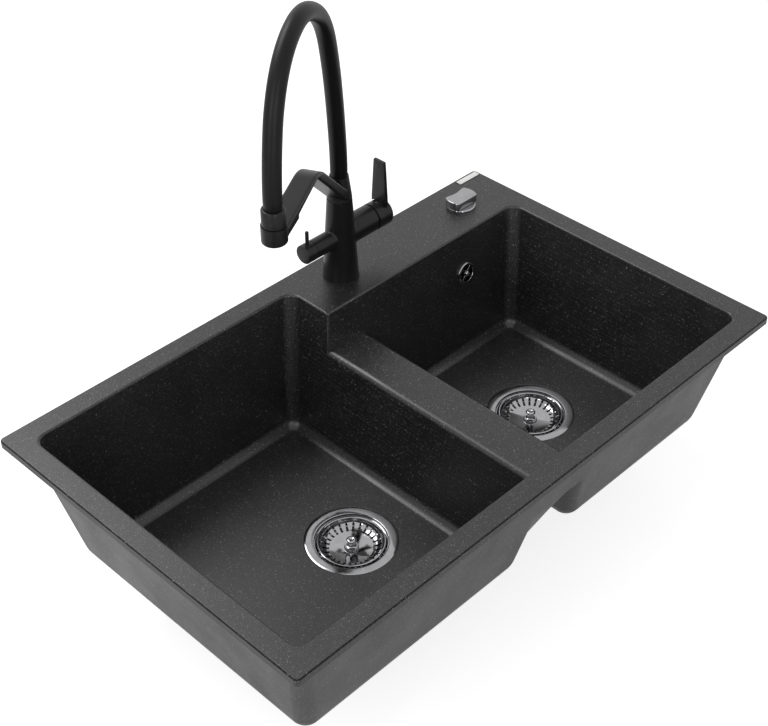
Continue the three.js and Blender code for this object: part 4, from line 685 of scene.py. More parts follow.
def new_material(name: str) -> tuple[bpy.types.Material, Nodes, bpy.types.Node]:
    """Makes a material with the tree of its nodes.

    Args:
        name: the material's name.

    Returns:
        The material, its nodes and its main shader.
    """
    material = bpy.data.materials.new(name)
    material.use_nodes = True
    nodes = Nodes(material.node_tree)
    return material, nodes, material.node_tree.nodes["Principled BSDF"]


def add_group(nodes: Nodes, group: bpy.types.NodeTree, **values: object) -> bpy.types.Node:
    """Places a node group in a material with its own values.

    Args:
        nodes: the material's nodes.
        group: the group to place.
        values: the group's inputs by name.

    Returns:
        The group's node.
    """
    node = nodes.tree.nodes.new("ShaderNodeGroup")
    node.node_tree = group
    for key, value in values.items():
        nodes.feed(node.inputs[key.replace("_", " ")], value)
    return node


@dataclass(frozen=True)
class StoneFinish:
    """Composite stone: dark ground, strewn with fine light flecks, silky to the touch."""

    name: str = "composite_stone"
    ground: Color = (0.0058, 0.0057, 0.0062)
    cloud: Color = (0.0100, 0.0098, 0.0106)
    fleck: Color = (0.34, 0.34, 0.36)
    roughness: Pair = (0.31, 0.43)
    fine_fleck_mm: float = 1.05
    fine_share: float = 0.48
    fine_strength: float = 0.45
    large_fleck_mm: float = 1.9
    large_share: float = 0.12
    large_strength: float = 0.66
    grain_mm: float = 1.2
    smudge_mm: float = 60.0
    bump_mm: float = 0.09
    gloss: float = 0.60

    def build(self) -> bpy.types.Material:
        """Makes the material.

        Returns:
            The material.
        """
        material, nodes, shader = new_material(self.name)
        fine = add_group(nodes, EFFECTS.flecks, Fleck_Size=self.fine_fleck_mm, Share=self.fine_share)
        large = add_group(nodes, EFFECTS.flecks, Fleck_Size=self.large_fleck_mm, Share=self.large_share)
        grain = add_group(nodes, EFFECTS.grain, Grain_Size=self.grain_mm, Smudge_Size=self.smudge_mm)
        color = nodes.blend(fine.outputs["Mottle"], self.ground, self.cloud)
        for flecks, strength in ((fine, self.fine_strength), (large, self.large_strength)):
            color = nodes.blend(nodes.math("MULTIPLY", flecks.outputs["Mask"], strength), color, self.fleck)
        nodes.feed(shader.inputs["Base Color"], color)
        nodes.feed(shader.inputs["Roughness"], nodes.span(grain.outputs["Smudge"], *SMUDGES, *self.roughness))
        nodes.relief(shader, strength=0.35, depth_mm=self.bump_mm, height=grain.outputs["Height"])
        shader.inputs["Specular IOR Level"].default_value = self.gloss
        return material


@dataclass(frozen=True)
class CoatedFinish:
    """Powder coat, moulded plastic, rubber and the like: one color with grain, smudges and edge wear."""

    name: str
    color: Color
    worn: Color
    roughness: Pair
    metallic: float = 0.0
    grain_mm: float = 0.35
    bump_mm: float = 0.02
    wear: float = 0.5
    smudge_mm: float = 35.0
    shade: float = 0.72
    gloss: float = 0.5

    def build(self) -> bpy.types.Material:
        """Makes the material.

        Returns:
            The material.
        """
        material, nodes, shader = new_material(self.name)
        grain = add_group(nodes, EFFECTS.grain, Grain_Size=self.grain_mm, Smudge_Size=self.smudge_mm)
        edges = add_group(nodes, EFFECTS.worn_edges, Amount=self.wear)
        shade = tuple(channel * self.shade for channel in self.color)
        base = nodes.blend(nodes.span(grain.outputs["Smudge"], *SMUDGES), self.color, shade)
        nodes.feed(shader.inputs["Base Color"], nodes.blend(edges.outputs["Mask"], base, self.worn))
        nodes.feed(shader.inputs["Roughness"], nodes.span(grain.outputs["Smudge"], *SMUDGES, *self.roughness))
        shader.inputs["Metallic"].default_value = self.metallic
        shader.inputs["Specular IOR Level"].default_value = self.gloss
        nodes.relief(shader, strength=0.5, depth_mm=self.bump_mm, height=grain.outputs["Height"])
        return material


@dataclass(frozen=True)
class PlatedFinish:
    """Polished or brushed plating and bare metal, with turning rings about an upright axis."""

    name: str
    color: Color
    roughness: Pair
    centre_mm: Triple = (0.0, 0.0, 0.0)
    ring_mm: float = 0.3
    ring_depth_mm: float = 0.004
    grain_mm: float = 0.6
    smudge_mm: float = 18.0
    shade: float = 0.82

    def build(self) -> bpy.types.Material:
        """Makes the material.

        Returns:
            The material.
        """
        material, nodes, shader = new_material(self.name)
        grain = add_group(nodes, EFFECTS.grain, Grain_Size=self.grain_mm, Smudge_Size=self.smudge_mm)
        centre = tuple(value * MM for value in self.centre_mm)
        rings = add_group(nodes, EFFECTS.turning, Centre=centre, Ring_Width=self.ring_mm)
        shade = tuple(channel * self.shade for channel in self.color)
        base = nodes.blend(nodes.span(grain.outputs["Smudge"], 0.35, 0.75), self.color, shade)
        nodes.feed(shader.inputs["Base Color"], base)
        nodes.feed(shader.inputs["Roughness"], nodes.span(grain.outputs["Smudge"], *SMUDGES, *self.roughness))
        shader.inputs["Metallic"].default_value = 1.0
        nodes.relief(shader, strength=0.4, depth_mm=self.ring_depth_mm, height=rings.outputs["Rings"])
        return material


class Slot(Enum):
    """The finishes of the part, by the record's slots."""

    STONE = "stone"
    BLACK = "black"
    HOSE = "hose"
    GUNMETAL = "gunmetal"
    CHROME = "chrome"
    STEEL = "steel"
    BRASS = "brass"
    SEAL = "seal"
    PLASTIC = "plastic"
    CERAMIC = "ceramic"
    PLATE = "plate"


# The stone with much weaker reflection, for the painted dark reflection along the rim's rounded edge.
STONE_PAINTED_DARK_EDGE = StoneFinish(name="stone_edge", gloss=0.16)

FINISHES = {
    Slot.STONE: StoneFinish(),
    Slot.BLACK: CoatedFinish(
        "matt_black_coat", (0.0110, 0.0107, 0.0114), (0.04, 0.04, 0.042), (0.26, 0.35), wear=0.35, gloss=0.26,
    ),
    Slot.HOSE: CoatedFinish(
        "black_silicone", (0.0052, 0.0051, 0.0055), (0.02, 0.02, 0.02), (0.34, 0.44), grain_mm=0.6, wear=0.1,
        gloss=0.21,
    ),
    Slot.GUNMETAL: PlatedFinish("gunmetal_chrome", (0.37, 0.37, 0.38), (0.07, 0.14)),
    Slot.CHROME: PlatedFinish("dark_chrome", (0.40, 0.40, 0.41), (0.04, 0.09)),
    Slot.STEEL: PlatedFinish("plain_steel", (0.50, 0.50, 0.51), (0.28, 0.42)),
    Slot.BRASS: PlatedFinish("machined_brass", (0.62, 0.45, 0.18), (0.25, 0.40)),
    Slot.SEAL: CoatedFinish("black_rubber", (0.013, 0.013, 0.013), (0.03, 0.03, 0.03), (0.7, 0.85), wear=0.1),
    Slot.PLASTIC: CoatedFinish(
        "black_plastic", (0.020, 0.020, 0.022), (0.07, 0.07, 0.07), (0.45, 0.6), wear=0.4,
    ),
    Slot.CERAMIC: CoatedFinish("pale_ceramic", (0.72, 0.70, 0.64), (0.8, 0.78, 0.74), (0.3, 0.42), wear=0.1),
    Slot.PLATE: CoatedFinish(
        "white_enamel", (0.94, 0.94, 0.93), (0.84, 0.84, 0.84), (0.25, 0.36), grain_mm=0.5, bump_mm=0.008,
        wear=0.2,
    ),
}


class Wardrobe:
    """Makes each finish once and hands it out."""

    def __init__(self) -> None:
        """Starts with no material made."""
        self._made: dict[object, bpy.types.Material] = {}

    def of(self, slot: Slot) -> bpy.types.Material:
        """The material of a slot.

        Args:
            slot: the finish.

        Returns:
            The material.
        """
        if slot not in self._made:
            self._made[slot] = FINISHES[slot].build()
        return self._made[slot]

    def turned_at(self, slot: Slot, centre: Triple) -> bpy.types.Material:
        """A plated material whose polishing rings run about a given upright axis.

        Args:
            slot: a plated finish.
            centre: a point on the rings' axis, in millimetres.

        Returns:
            The material.
        """
        key = (slot, centre)
        if key not in self._made:
            plain = FINISHES[slot]
            name = f"{plain.name}_{round(centre[0])}_{round(centre[1])}"
            turned = replace(plain, name=name, centre_mm=centre, ring_mm=0.25, ring_depth_mm=0.006)
            self._made[key] = turned.build()
        return self._made[key]


WARDROBE = Wardrobe()


def coat(mesh: bpy.types.Mesh, material: bpy.types.Material) -> None:
    """Gives a mesh one material in place of any others."""
    mesh.materials.clear()
    mesh.materials.append(material)


def dress(
    form: Form,
    name: str,
    body: str,
    slot: Slot,
    replaces: Sequence[str] = (),
    material: bpy.types.Material | None = None,
) -> bpy.types.Object:
    """Turns a form into a finished piece of the object.

    Args:
        form: the shape in millimetres, already in its place.
        name: the piece's name.
        body: the moving body it rides on.
        slot: its finish.
        replaces: the solids that it stands for.
        material: a material other than the slot's plain one.

    Returns:
        The finished object.
    """
    obj = form.obj
    obj.data.transform(Matrix.Scale(MM, 4))
    obj.name = name
    obj.data.name = name
    coat(obj.data, material or WARDROBE.of(slot))
    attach(obj, body)
    if replaces:
        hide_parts(*replaces)
    LOG.info("%s: %d faces on %s", name, len(obj.data.polygons), body)
    return obj


def dress_solids() -> None:
    """Gives every solid of the frame its slot's material and smooth shading over its facets."""
    for entry in frame["record"]["subparts"]:
        solid = frame["nodes"][entry["node"]]
        coat(solid.data, WARDROBE.of(Slot(entry["material_slot"])))
        shade_smooth(solid.data, angle=32)


# ---------------------------------------------------------------- sink body


@dataclass
class SinkBody:
    """The stone body: rim, tap deck, two bowls, low divider and webs."""

    length: float = 800.0
    width: float = 490.0
    rim: float = 10.0
    rim_corner: float = 6.0
    rim_round: float = 2.0
    rim_chamfer: float = 0.6
    # share of the rim's rounding, from the top down, that gets the painted dark reflection
    dark_edge_band: Pair = (0.04, 0.65)
    land: float = 28.0
    deck: float = 96.0
    left_length: float = 392.0
    divider_width: float = 44.0
    left_depth: float = 180.0
    right_depth: float = 170.0
    inner_draft: float = 0.18
    outer_draft: float = 0.2
    wall: float = 11.0
    floor: float = 10.0
    inner_corner: float = 16.0
    outer_corner: float = 19.0
    step_corner: float = 4.0
    floor_fillet: float = 12.0
    bottom_round: float = 28.0
    opening_round: float = 3.0
    divider_drop: float = 50.0
    divider_thickness: float = 12.0
    divider_rounds: Pair = (10.0, 8.0)
    web_height: float = 25.0
    web_thickness: float = 10.0
    web_rounds: Pair = (46.0, 9.0)
    web_tuck: float = 0.34
    drain_hole: float = 45.0
    drain_recess: Pair = (57.0, 5.0)
    deck_hole: float = 17.5
    deck_hole_setback: float = 48.0
    deck_hole_places: Pair = (90.0, 319.0)
    overflow_hole: float = 13.0
    overflow_x: float = 267.0
    overflow_drop: float = 58.0
    drains: tuple[Pair, Pair] = ((-111.0, -22.0), (212.0, -31.0))
    corner_steps: int = 10
    round_steps: int = 6

    def __post_init__(self) -> None:
        """Works out the edges of the opening and of both bowls."""
        half_length, half_width = self.length / 2, self.width / 2
        hole_y = half_width - self.deck_hole_setback
        self.deck_seats = [(x, hole_y, self.rim) for x in self.deck_hole_places]
        step = -half_length + self.land + self.left_length
        deck_front = half_width - self.deck
        front = -half_width + self.land
        self.left_bowl = (-half_length + self.land, step, front, half_width - self.land)
        self.right_bowl = (step + self.divider_width, half_length - self.land, front, deck_front)
        self.floors = (self.rim - self.left_depth, self.rim - self.right_depth)
        self.crest = self.rim - self.divider_drop

    def inner_inset(self, z: float) -> float:
        """How far the bowls' walls have come in at a height."""
        return self.inner_draft * (self.rim - z)

    def outer_offset(self, z: float) -> float:
        """How far the shells' outer faces lie outside the opening at a height."""
        return self.wall - self.inner_inset(0) + self.outer_draft * z

    def _inset(self, bowl: Sequence[float], by: float, corner: float) -> list[Pair]:
        """A bowl's rounded plan, drawn in by a distance.

        Args:
            bowl: its left, right, front and back edges at the rim.
            by: how far it is drawn in; a negative distance lets it out.
            corner: the radius of its corners.

        Returns:
            The outline.
        """
        left, right, front, back = bowl
        plan = rectangle(left + by, right - by, front + by, back - by)
        return rounded(plan, corner, self.corner_steps)

    def _opening(self, by: float) -> list[Pair]:
        """The L-shaped opening in the rim, drawn in by a distance.

        Args:
            by: how far it is drawn in.

        Returns:
            The outline.
        """
        left, step, front, back = self.left_bowl
        _, right, _, deck_front = self.right_bowl
        corners = [
            (left + by, front + by), (right - by, front + by), (right - by, deck_front - by),
            (step - by, deck_front - by), (step - by, back - by), (left + by, back - by),
        ]
        radii = [self.step_corner if i == 3 else self.inner_corner for i in range(len(corners))]
        return rounded(corners, radii, self.corner_steps)

    def _rim_slab(self) -> Form:
        """The rim with its rounded upper edge.

        Returns:
            The new form.
        """
        plan = (-self.length / 2, self.length / 2, -self.width / 2, self.width / 2)
        levels = [
            (self._inset(plan, self.rim_chamfer, self.rim_corner), 0.0),
            (self._inset(plan, 0, self.rim_corner), self.rim_chamfer),
        ]
        for angle in quarter(self.round_steps):
            by = self.rim_round * (1 - math.cos(angle))
            z = self.rim - self.rim_round * (1 - math.sin(angle))
            levels.append((self._inset(plan, by, self.rim_corner - by), z))
        return Form.loft(levels)

    def _shell(self, bowl: Sequence[float], floor: float) -> Form:
        """The outside of one bowl.

        Args:
            bowl: its left, right, front and back edges at the rim.
            floor: the height of its floor.

        Returns:
            The new form.
        """
        bottom = floor - self.floor
        levels = []
        for angle in quarter(self.corner_steps):
            z = bottom + self.bottom_round * (1 - math.cos(angle))
            by = self.bottom_round * (1 - math.sin(angle))
            corner = max(self.outer_corner - by, self.outer_corner / 4)
            levels.append((self._inset(bowl, by - self.outer_offset(z), corner), z))
        top = self.rim / 2
        levels.append((self._inset(bowl, -self.outer_offset(top), self.outer_corner), top))
        return Form.loft(levels)

    def _hollow(self, bowl: Sequence[float], floor: float) -> Form:
        """The inside of one bowl up to just above the divider's crest.

        Args:
            bowl: its left, right, front and back edges at the rim.
            floor: the height of its floor.

        Returns:
            The new form.
        """
        levels = []
        for angle in quarter(self.round_steps):
            z = floor + self.floor_fillet * (1 - math.cos(angle))
            by = self.floor_fillet * (1 - math.sin(angle))
            levels.append((self._inset(bowl, self.inner_inset(z) + by, self.inner_corner - by), z))
        top = self.crest + 1
        levels.append((self._inset(bowl, self.inner_inset(top), self.inner_corner), top))
        return Form.loft(levels)

    def _above_divider(self) -> Form:
        """Everything above the divider's rounded crest.

        Returns:
            The new form.
        """
        far, low = self.length, self.crest - 4 * self.divider_rounds[0]
        left = self.left_bowl[1] - self.inner_inset(self.crest)
        right = self.right_bowl[0] + self.inner_inset(self.crest)
        drop = self.inner_draft * (self.crest - low)
        corners = [
            (left, self.crest), (right, self.crest), (right + drop, low), (far, low),
            (far, self.rim + 2), (-far, self.rim + 2), (-far, low), (left - drop, low),
        ]
        profile = rounded(corners, [*self.divider_rounds, 0, 0, 0, 0, 0, 0], self.corner_steps)
        return Form.prism(profile, -self.width, self.width).turn(90, "X")

    def _upper_hollow(self) -> Form:
        """The shared hollow above the divider, flared at the rim.

        Returns:
            The new form.
        """
        bottom = self.crest - 2 * self.divider_rounds[0]
        levels = [(self._opening(self.inner_inset(bottom)), bottom)]
        base = self.inner_inset(self.rim - self.opening_round)
        for angle in quarter(self.round_steps):
            z = self.rim - self.opening_round * (1 - math.sin(angle))
            levels.append((self._opening(base - self.opening_round * (1 - math.cos(angle))), z))
        levels.append((self._opening(base - self.opening_round), self.rim + 1))
        return Form.loft(levels).common(self._above_divider())

    def _bridge(self, front: ByHeight, back: ByHeight, bottom: float, overlap: float = 0.0) -> Form:
        """A block between the shells whose ends lie inside their walls, or further in by an overlap.

        Args:
            front: the front face by height.
            back: the back face by height.
            bottom: the height of its underside.
            overlap: how much further its ends go in.

        Returns:
            The new form.
        """
        levels = []
        for z in (bottom, self.rim / 2):
            left = self.left_bowl[1] - self.inner_inset(z) + self.wall / 2 - overlap
            right = self.right_bowl[0] + self.inner_inset(z) - self.wall / 2 + overlap
            levels.append((rectangle(left, right, front(z), back(z)), z))
        return Form.loft(levels)

    def _gussets(self, front: ByHeight, back: ByHeight, top: float, outside: int) -> list[Form]:
        """The hollow curves by which a web's lower edge runs down into both shells.

        Args:
            front: the web's front face by height.
            back: the web's back face by height.
            top: the height of the web's lower edge.
            outside: -1 where the front face is the outer one, 1 where the back face is.

        Returns:
            One curved corner for each shell.
        """
        gussets = []
        for side, radius in zip((-1, 1), self.web_rounds):
            curve = []
            for angle in quarter(self.corner_steps):
                drop, out = radius * (1 - math.sin(angle)), radius * (1 - math.cos(angle))
                tuck = self.web_tuck * self.outer_corner * (1 - math.sin(angle)) ** 1.5
                curve.append((top - drop, out - tuck, tuck))
            curve.append((top + 3, radius, 0.0))
            levels = []
            for z, grown, tuck in curve:
                if side < 0:
                    face = self.left_bowl[1] + self.outer_offset(z)
                    span = (face - self.outer_corner, face + grown)
                else:
                    face = self.right_bowl[0] - self.outer_offset(z)
                    span = (face - grown, face + self.outer_corner)
                near = front(z) + (tuck if outside < 0 else 0)
                far = back(z) - (tuck if outside > 0 else 0)
                levels.append((rectangle(*span, near, far), z))
            gussets.append(Form.loft(levels))
        return gussets

    def _bridges(self) -> list[Form]:
        """The divider's bar and its front and back webs.

        Returns:
            The forms to join to the body.
        """
        _, _, front_edge, back_edge = self.right_bowl
        underside = self.crest - self.divider_thickness
        web = underside - self.web_height

        def front(z: float) -> float:
            """The shells' front face."""
            return front_edge - self.outer_offset(z)

        def back(z: float) -> float:
            """The small shell's back face."""
            return back_edge + self.outer_offset(z)

        bridges = [self._bridge(front, back, underside)]
        for near, far, outside in [
            (front, lambda z: front(z) + self.web_thickness, -1),
            (lambda z: back(z) - self.web_thickness, back, 1),
        ]:
            bridges.append(self._bridge(near, far, web, self.outer_corner))
            bridges += self._gussets(near, far, web, outside)
        return bridges

    def _paint_dark_edge(self, obj: bpy.types.Object) -> None:
        """Gives a band of the rim's rounded upper edge a less glossy copy of the stone: a painted dark
        reflection.

        Args:
            obj: the dressed body.
        """
        obj.data.materials.append(STONE_PAINTED_DARK_EDGE.build())
        half_length, half_width = self.length / 2 - self.rim_round, self.width / 2 - self.rim_round
        first, last = self.dark_edge_band
        for face in obj.data.polygons:
            x, y, z = (value / MM for value in face.center)
            outside = abs(x) > half_length or abs(y) > half_width
            if outside and first < (self.rim - z) / self.rim_round < last:
                face.material_index = 1

    def _drain_tool(self, place: Pair, floor: float) -> Form:
        """The hole and recess for one waste.

        Args:
            place: the waste's axis.
            floor: the height of the bowl's floor.

        Returns:
            The form to cut away.
        """
        radius, depth = self.drain_recess
        chamfer, under = 0.8, -self.floor - 1
        return Form.turned([
            (0, under), (self.drain_hole, under), (self.drain_hole, -depth), (radius, -depth),
            (radius, -chamfer), (radius + chamfer, 0.0), (radius + chamfer + 1, 1), (0, 1),
        ], 96).move(*place, floor)

    def overflow_seat(self) -> Vector:
        """Where the overflow's axis meets the inner wall."""
        z = self.rim - self.overflow_drop
        return Vector((self.overflow_x, self.right_bowl[3] - self.inner_inset(z), z))

    def overflow_frame(self) -> Matrix:
        """A frame on the inner wall whose +Z looks into the bowl."""
        tilt = math.pi / 2 - math.atan(self.inner_draft)
        return Matrix.Translation(self.overflow_seat()) @ Matrix.Rotation(tilt, 4, "X")

    def build(self) -> None:
        """Models and dresses the body."""
        body = self._rim_slab()
        body.join(self._shell(self.left_bowl, self.floors[0]), self._shell(self.right_bowl, self.floors[1]))
        body.join(*self._bridges())
        hollow = self._hollow(self.left_bowl, self.floors[0])
        hollow.join(self._hollow(self.right_bowl, self.floors[1]), self._upper_hollow())
        deck_holes = [
            Form.disc(self.deck_hole, -1, self.rim + 1).move(x, y, 0) for x, y, _ in self.deck_seats
        ]
        overflow = Form.disc(self.overflow_hole, -2 * self.wall, self.wall).place(self.overflow_frame())
        drains = [self._drain_tool(place, floor) for place, floor in zip(self.drains, self.floors)]
        body.cut(hollow, *drains, *deck_holes, overflow)
        body.smooth(34).weighted()
        dressed = dress(body, "stone_body", "root", Slot.STONE, [
            "sink_rim", "left_bowl_walls", "left_bowl_floor", "right_bowl_walls", "right_bowl_floor",
            "bowl_divider",
        ])
        self._paint_dark_edge(dressed)


# ---------------------------------------------------------------- name plate


@dataclass
class NamePlate:
    """The small white plate on the rim, left blank."""

    length: float = 39.0
    width: float = 9.0
    right: float = 396.0
    back: float = 240.5
    bottom: float = 10.3
    thickness: float = 0.6
    corner: float = 1.0
    edge: float = 0.18
    # how far the black sheet under the plate, a painted shadow outline, stands out past it, and how high it
    # rises
    shadow_border: float = 0.8
    shadow_border_height: float = 0.05

    def build(self) -> None:
        """Models and dresses the plate and a slightly larger black sheet under it: painted shadow round the
        plate's edges.
        """
        plan = rectangle(self.right - self.length, self.right, self.back - self.width, self.back)
        form = Form.prism(rounded(plan, self.corner, 6), self.bottom, self.bottom + self.thickness)
        form.bevel(self.edge, 2).smooth()
        dress(form, "blank_plate", "root", Slot.PLATE, ["name_plate"])
        # A black sheet just larger than the plate: painted shadow along the plate's edges.
        grown = rectangle(
            self.right - self.length - self.shadow_border, self.right + self.shadow_border,
            self.back - self.width - self.shadow_border, self.back + self.shadow_border,
        )
        outline = rounded(grown, self.corner + self.shadow_border, 6)
        shadow_border = Form.prism(outline, self.bottom - GAP, self.bottom + self.shadow_border_height)
        dress(shadow_border.smooth(), "plate_shadow_border", "root", Slot.SEAL)


# ---------------------------------------------------------------- wastes


@dataclass
class Waste:
    """One basket strainer waste; lengths stand on the bowl's floor."""

    side: str
    place: Triple
    screw_radius: float
    remote: bool
    flange_radius: float = 56.6
    flange_depth: float = 3.0
    cup_radius: float = 44.3
    cup_sheet: float = 1.5
    cup_depth: float = 18.0
    outlet_radius: float = 7.5
    outlet_circle: float = 22.0
    outlets: int = 6
    basket_radius: float = 42.0
    basket_lip: float = 2.2
    basket_top: float = 1.3
    basket_sheet: float = 1.0
    plate_radius: float = 27.0
    plate_depth: float = 13.3
    slots: int = 26
    slot_width: float = 2.9
    slot_reach: float = 0.86
    knob_radius: float = 6.5
    knob_top: float = 2.0
    stem: float = 3.0
    boss_radius: float = 9.0
    boss_height: float = 1.6
    pipe_radius: float = 20.5
    pipe_depth: float = 84.0
    nut_radius: float = 27.0
    nut_height: float = 16.0
    nut_setback: float = 2.0
    nut_ribs: int = 20
    screw_depth: float = 60.0
    pin_bore: float = 2.9

    @property
    def basket_body(self) -> str:
        """The moving body that the basket rides on."""
        return f"{self.side}_basket"

    def _flange(self) -> Form:
        """The strainer cup with its broad, slightly dished flange.

        Returns:
            The form, in the waste's own place.
        """
        cup, outer, inside = self.cup_radius, self.flange_radius, self.cup_radius - self.cup_sheet
        floor, under = -self.cup_depth, -self.cup_depth - self.cup_sheet
        screw = self.screw_radius + GAP
        form = Form.turned([
            (screw, floor), (inside - 2.5, floor), (inside - 0.7, floor + 0.7), (inside, floor + 2.5),
            (inside, -4.6), (cup + 0.7, -3.6), (cup + 1.0, -1.3), (cup + 1.3, -0.8), (cup + 1.9, -0.6),
            (cup + 2.7, -0.58), (outer - 2.2, -0.3), (outer - 1.5, -0.45), (outer - 0.1, -0.8), (outer, -1.2),
            (outer, -self.flange_depth), (cup, -self.flange_depth), (cup, under + 2.5), (cup - 2.5, under),
            (screw, under),
        ], 128)
        outlet = Form.disc(self.outlet_radius, under - 1, floor + 1, 32).move(self.outlet_circle, 0, 0)
        return form.cut(outlet.copies(self.outlets)).smooth(28)

    def _basket(self) -> Form:
        """The pressed basket: rolled rim, a wall from steep to shallow, slots down to the plate's edge.

        Returns:
            The form, in the waste's own place.
        """
        top, sheet = -self.basket_top, self.basket_sheet
        rim, plate, low = self.basket_radius, self.plate_radius, -self.plate_depth
        inner = rim - self.basket_lip
        drop, reach = top - 1.4 - low - sheet, inner - 0.4 - plate
        wall = [
            (plate + reach * math.sin(a) ** 0.9, low + sheet + drop * (1 - math.cos(a)) ** 0.85)
            for a in quarter(12)
        ]
        inside = wall[::-1]
        outside = [(r + sheet * 0.75, z - sheet * 0.75) for r, z in wall]
        shell = Form.turned([
            (0, low), (plate, low), *outside[1:], (rim - 0.6, top - 1.3), (rim, top - 0.8),
            (rim - 0.15, top - 0.3), (rim - 0.7, top), (inner + 0.7, top), (inner, top - 0.5), *inside[:-1],
            (plate - 0.3, low + sheet + 0.25), (plate - 1.0, low + sheet), (0, low + sheet),
        ], 144)
        half, end = self.slot_width / 2, plate + self.slot_reach * reach
        slot = rounded(rectangle(plate - 0.2, end, -half, half), self.slot_width * 0.45, 4)
        return shell.cut(Form.prism(slot, low - 2, top).copies(self.slots)).smooth(28)

    def _knob(self) -> Form:
        """Boss, stem and mushroom grip with a dimple.

        Returns:
            The form, in the waste's own place.
        """
        seat = -self.plate_depth + self.basket_sheet + 0.5
        crown, top = seat + self.boss_height, self.knob_top
        boss, stem, head = self.boss_radius, self.stem, self.knob_radius
        return Form.turned([
            (0, seat), (boss, seat), (boss - 0.1, seat + 1.0), (boss - 0.8, seat + 1.8), (boss - 2.0, crown),
            (stem + 1.4, crown + 0.5), (stem + 0.3, crown + 1.4), (stem, crown + 2.6), (stem, top - 4.9),
            (stem + 0.5, top - 4.5), (head - 1.0, top - 3.9), (head - 0.2, top - 3.2), (head, top - 2.4),
            (head - 0.25, top - 1.5), (head - 1.1, top - 0.6), (head - 2.2, top - 0.12), (head - 3.0, top),
            (head - 3.8, top - 0.15), (head - 4.6, top - 0.7), (0, top - 0.9),
        ], 72).smooth(40)

    def _screw(self) -> Form:
        """The clamp screw's head, seen through the basket's slots, with its shank.

        Returns:
            The form, in the waste's own place.
        """
        bore = self.pin_bore if self.remote else 0.0
        radius, head = self.screw_radius, self.screw_radius + 2.5
        low, seat = -self.screw_depth, -self.cup_depth + GAP
        screw = Form.turned([
            (bore, low), (radius - 0.8, low), (radius, low + 0.8), (radius, seat), (head, seat),
            (head, seat + 2.4), (head - 0.8, seat + 3.2), (bore, seat + 3.2),
        ], 40)
        if not self.remote:
            screw.cut(Form.block((2 * head + 2, 1.6, 3.0), (0, 0, seat + 3.2)))
        return screw.smooth(30)

    def _nut(self) -> Form:
        """The ridged outlet nut.

        Returns:
            The form, in the waste's own place.
        """
        bottom = -self.pipe_depth + self.nut_setback
        top, root = bottom + self.nut_height, self.nut_radius - 2.2
        bore = self.pipe_radius + GAP
        nut = Form.turned([
            (bore, bottom), (root - 0.8, bottom), (root, bottom + 0.8), (root, top - 2.5),
            (root - 1.4, top - 0.6), (root - 2.2, top), (bore, top),
        ], 80)
        rib = Form.block((3.0, 2.6, self.nut_height - 4.0), (root + 0.2, 0, (bottom + top) / 2 - 1.0))
        return nut.join(rib.bevel(0.6, 2).copies(self.nut_ribs)).smooth(34)

    def _set(self, form: Form, name: str, body: str, slot: Slot, node: str) -> None:
        """Moves a form to this waste and dresses it.

        Args:
            form: the shape in the waste's own place.
            name: the piece's name without its side.
            body: the moving body it rides on.
            slot: its finish.
            node: the solid's name without its side.
        """
        plated = isinstance(FINISHES[slot], PlatedFinish)
        metal = WARDROBE.turned_at(slot, self.place) if plated else None
        dress(form.move(*self.place), f"{self.side}_{name}", body, slot, [f"{self.side}_{node}"], metal)

    def build(self) -> None:
        """Models and dresses the waste."""
        self._set(self._flange(), "cup", "root", Slot.GUNMETAL, "waste_flange")
        self._set(self._basket(), "basket", self.basket_body, Slot.CHROME, "strainer_basket")
        self._set(self._knob(), "basket_grip", self.basket_body, Slot.CHROME, "basket_knob")
        self._set(self._screw(), "clamp_screw", "root", Slot.STEEL, "clamp_screw")
        self._set(self._nut(), "ridged_nut", "root", Slot.PLASTIC, "outlet_nut")


# ---------------------------------------------------------------- overflow


@dataclass
class Overflow:
    """The overflow's grille and screw on the right bowl's back wall."""

    frame: Matrix
    hole_radius: float = 13.0
    ring_radius: float = 15.5
    ring_width: float = 4.3
    ring_thickness: float = 2.6
    bar_width: float = 3.4
    hub_radius: float = 4.4
    tube_length: float = 8.0
    screw_radius: float = 2.0
    screw_head: float = 3.4
    screw_length: float = 32.0

    def _grille(self) -> Form:
        """Rounded ring, tube and cross bars.

        Returns:
            The form, with the wall in its XY plane.
        """
        outer, open_radius = self.ring_radius, self.ring_radius - self.ring_width
        low, top = GAP, GAP + self.ring_thickness
        tube = self.hole_radius - GAP
        ring = Form.turned([
            (open_radius, -self.tube_length), (tube, -self.tube_length), (tube, low), (outer, low),
            (outer, low + 0.9), (outer - 0.3, top - 0.8), (outer - 1.1, top - 0.2), (outer - 2.0, top),
            (open_radius + 1.4, top), (open_radius + 0.4, top - 0.3), (open_radius, top - 1.1),
        ], 72)
        bars = []
        for angle in (45, 135):
            bar = Form.block((2 * open_radius + 2, self.bar_width, 1.7), (0, 0, (low + top) / 2))
            bars.append(bar.bevel(0.5, 2).turn(angle, "Z"))
        hub = Form.disc(self.hub_radius, low, top - 0.3, 40, 0.5)
        hole = Form.disc(self.screw_radius + GAP, -1, top + 1, 24)
        return ring.join(*bars, hub).cut(hole).smooth(34)

    def _screw(self) -> Form:
        """Raised head screw with a slot.

        Returns:
            The form, with the wall in its XY plane.
        """
        seat = 2 * GAP + self.ring_thickness
        end, head = seat - self.screw_length, self.screw_head
        screw = Form.turned([
            (0, end), (self.screw_radius, end), (self.screw_radius, seat), (head, seat),
            (head, seat + 0.4), (head - 0.5, seat + 1.0), (head - 1.6, seat + 1.5), (0, seat + 1.6),
        ], 32)
        return screw.cut(Form.block((2 * head + 1, 0.9, 1.6), (0, 0, seat + 1.6))).smooth(34)

    def build(self) -> None:
        """Models and dresses the overflow."""
        dress(self._grille().place(self.frame), "overflow_ring", "root", Slot.CHROME, ["overflow_grille"])
        dress(self._screw().place(self.frame), "overflow_fixing", "root", Slot.CHROME, ["overflow_screw"])


# ---------------------------------------------------------------- waste control


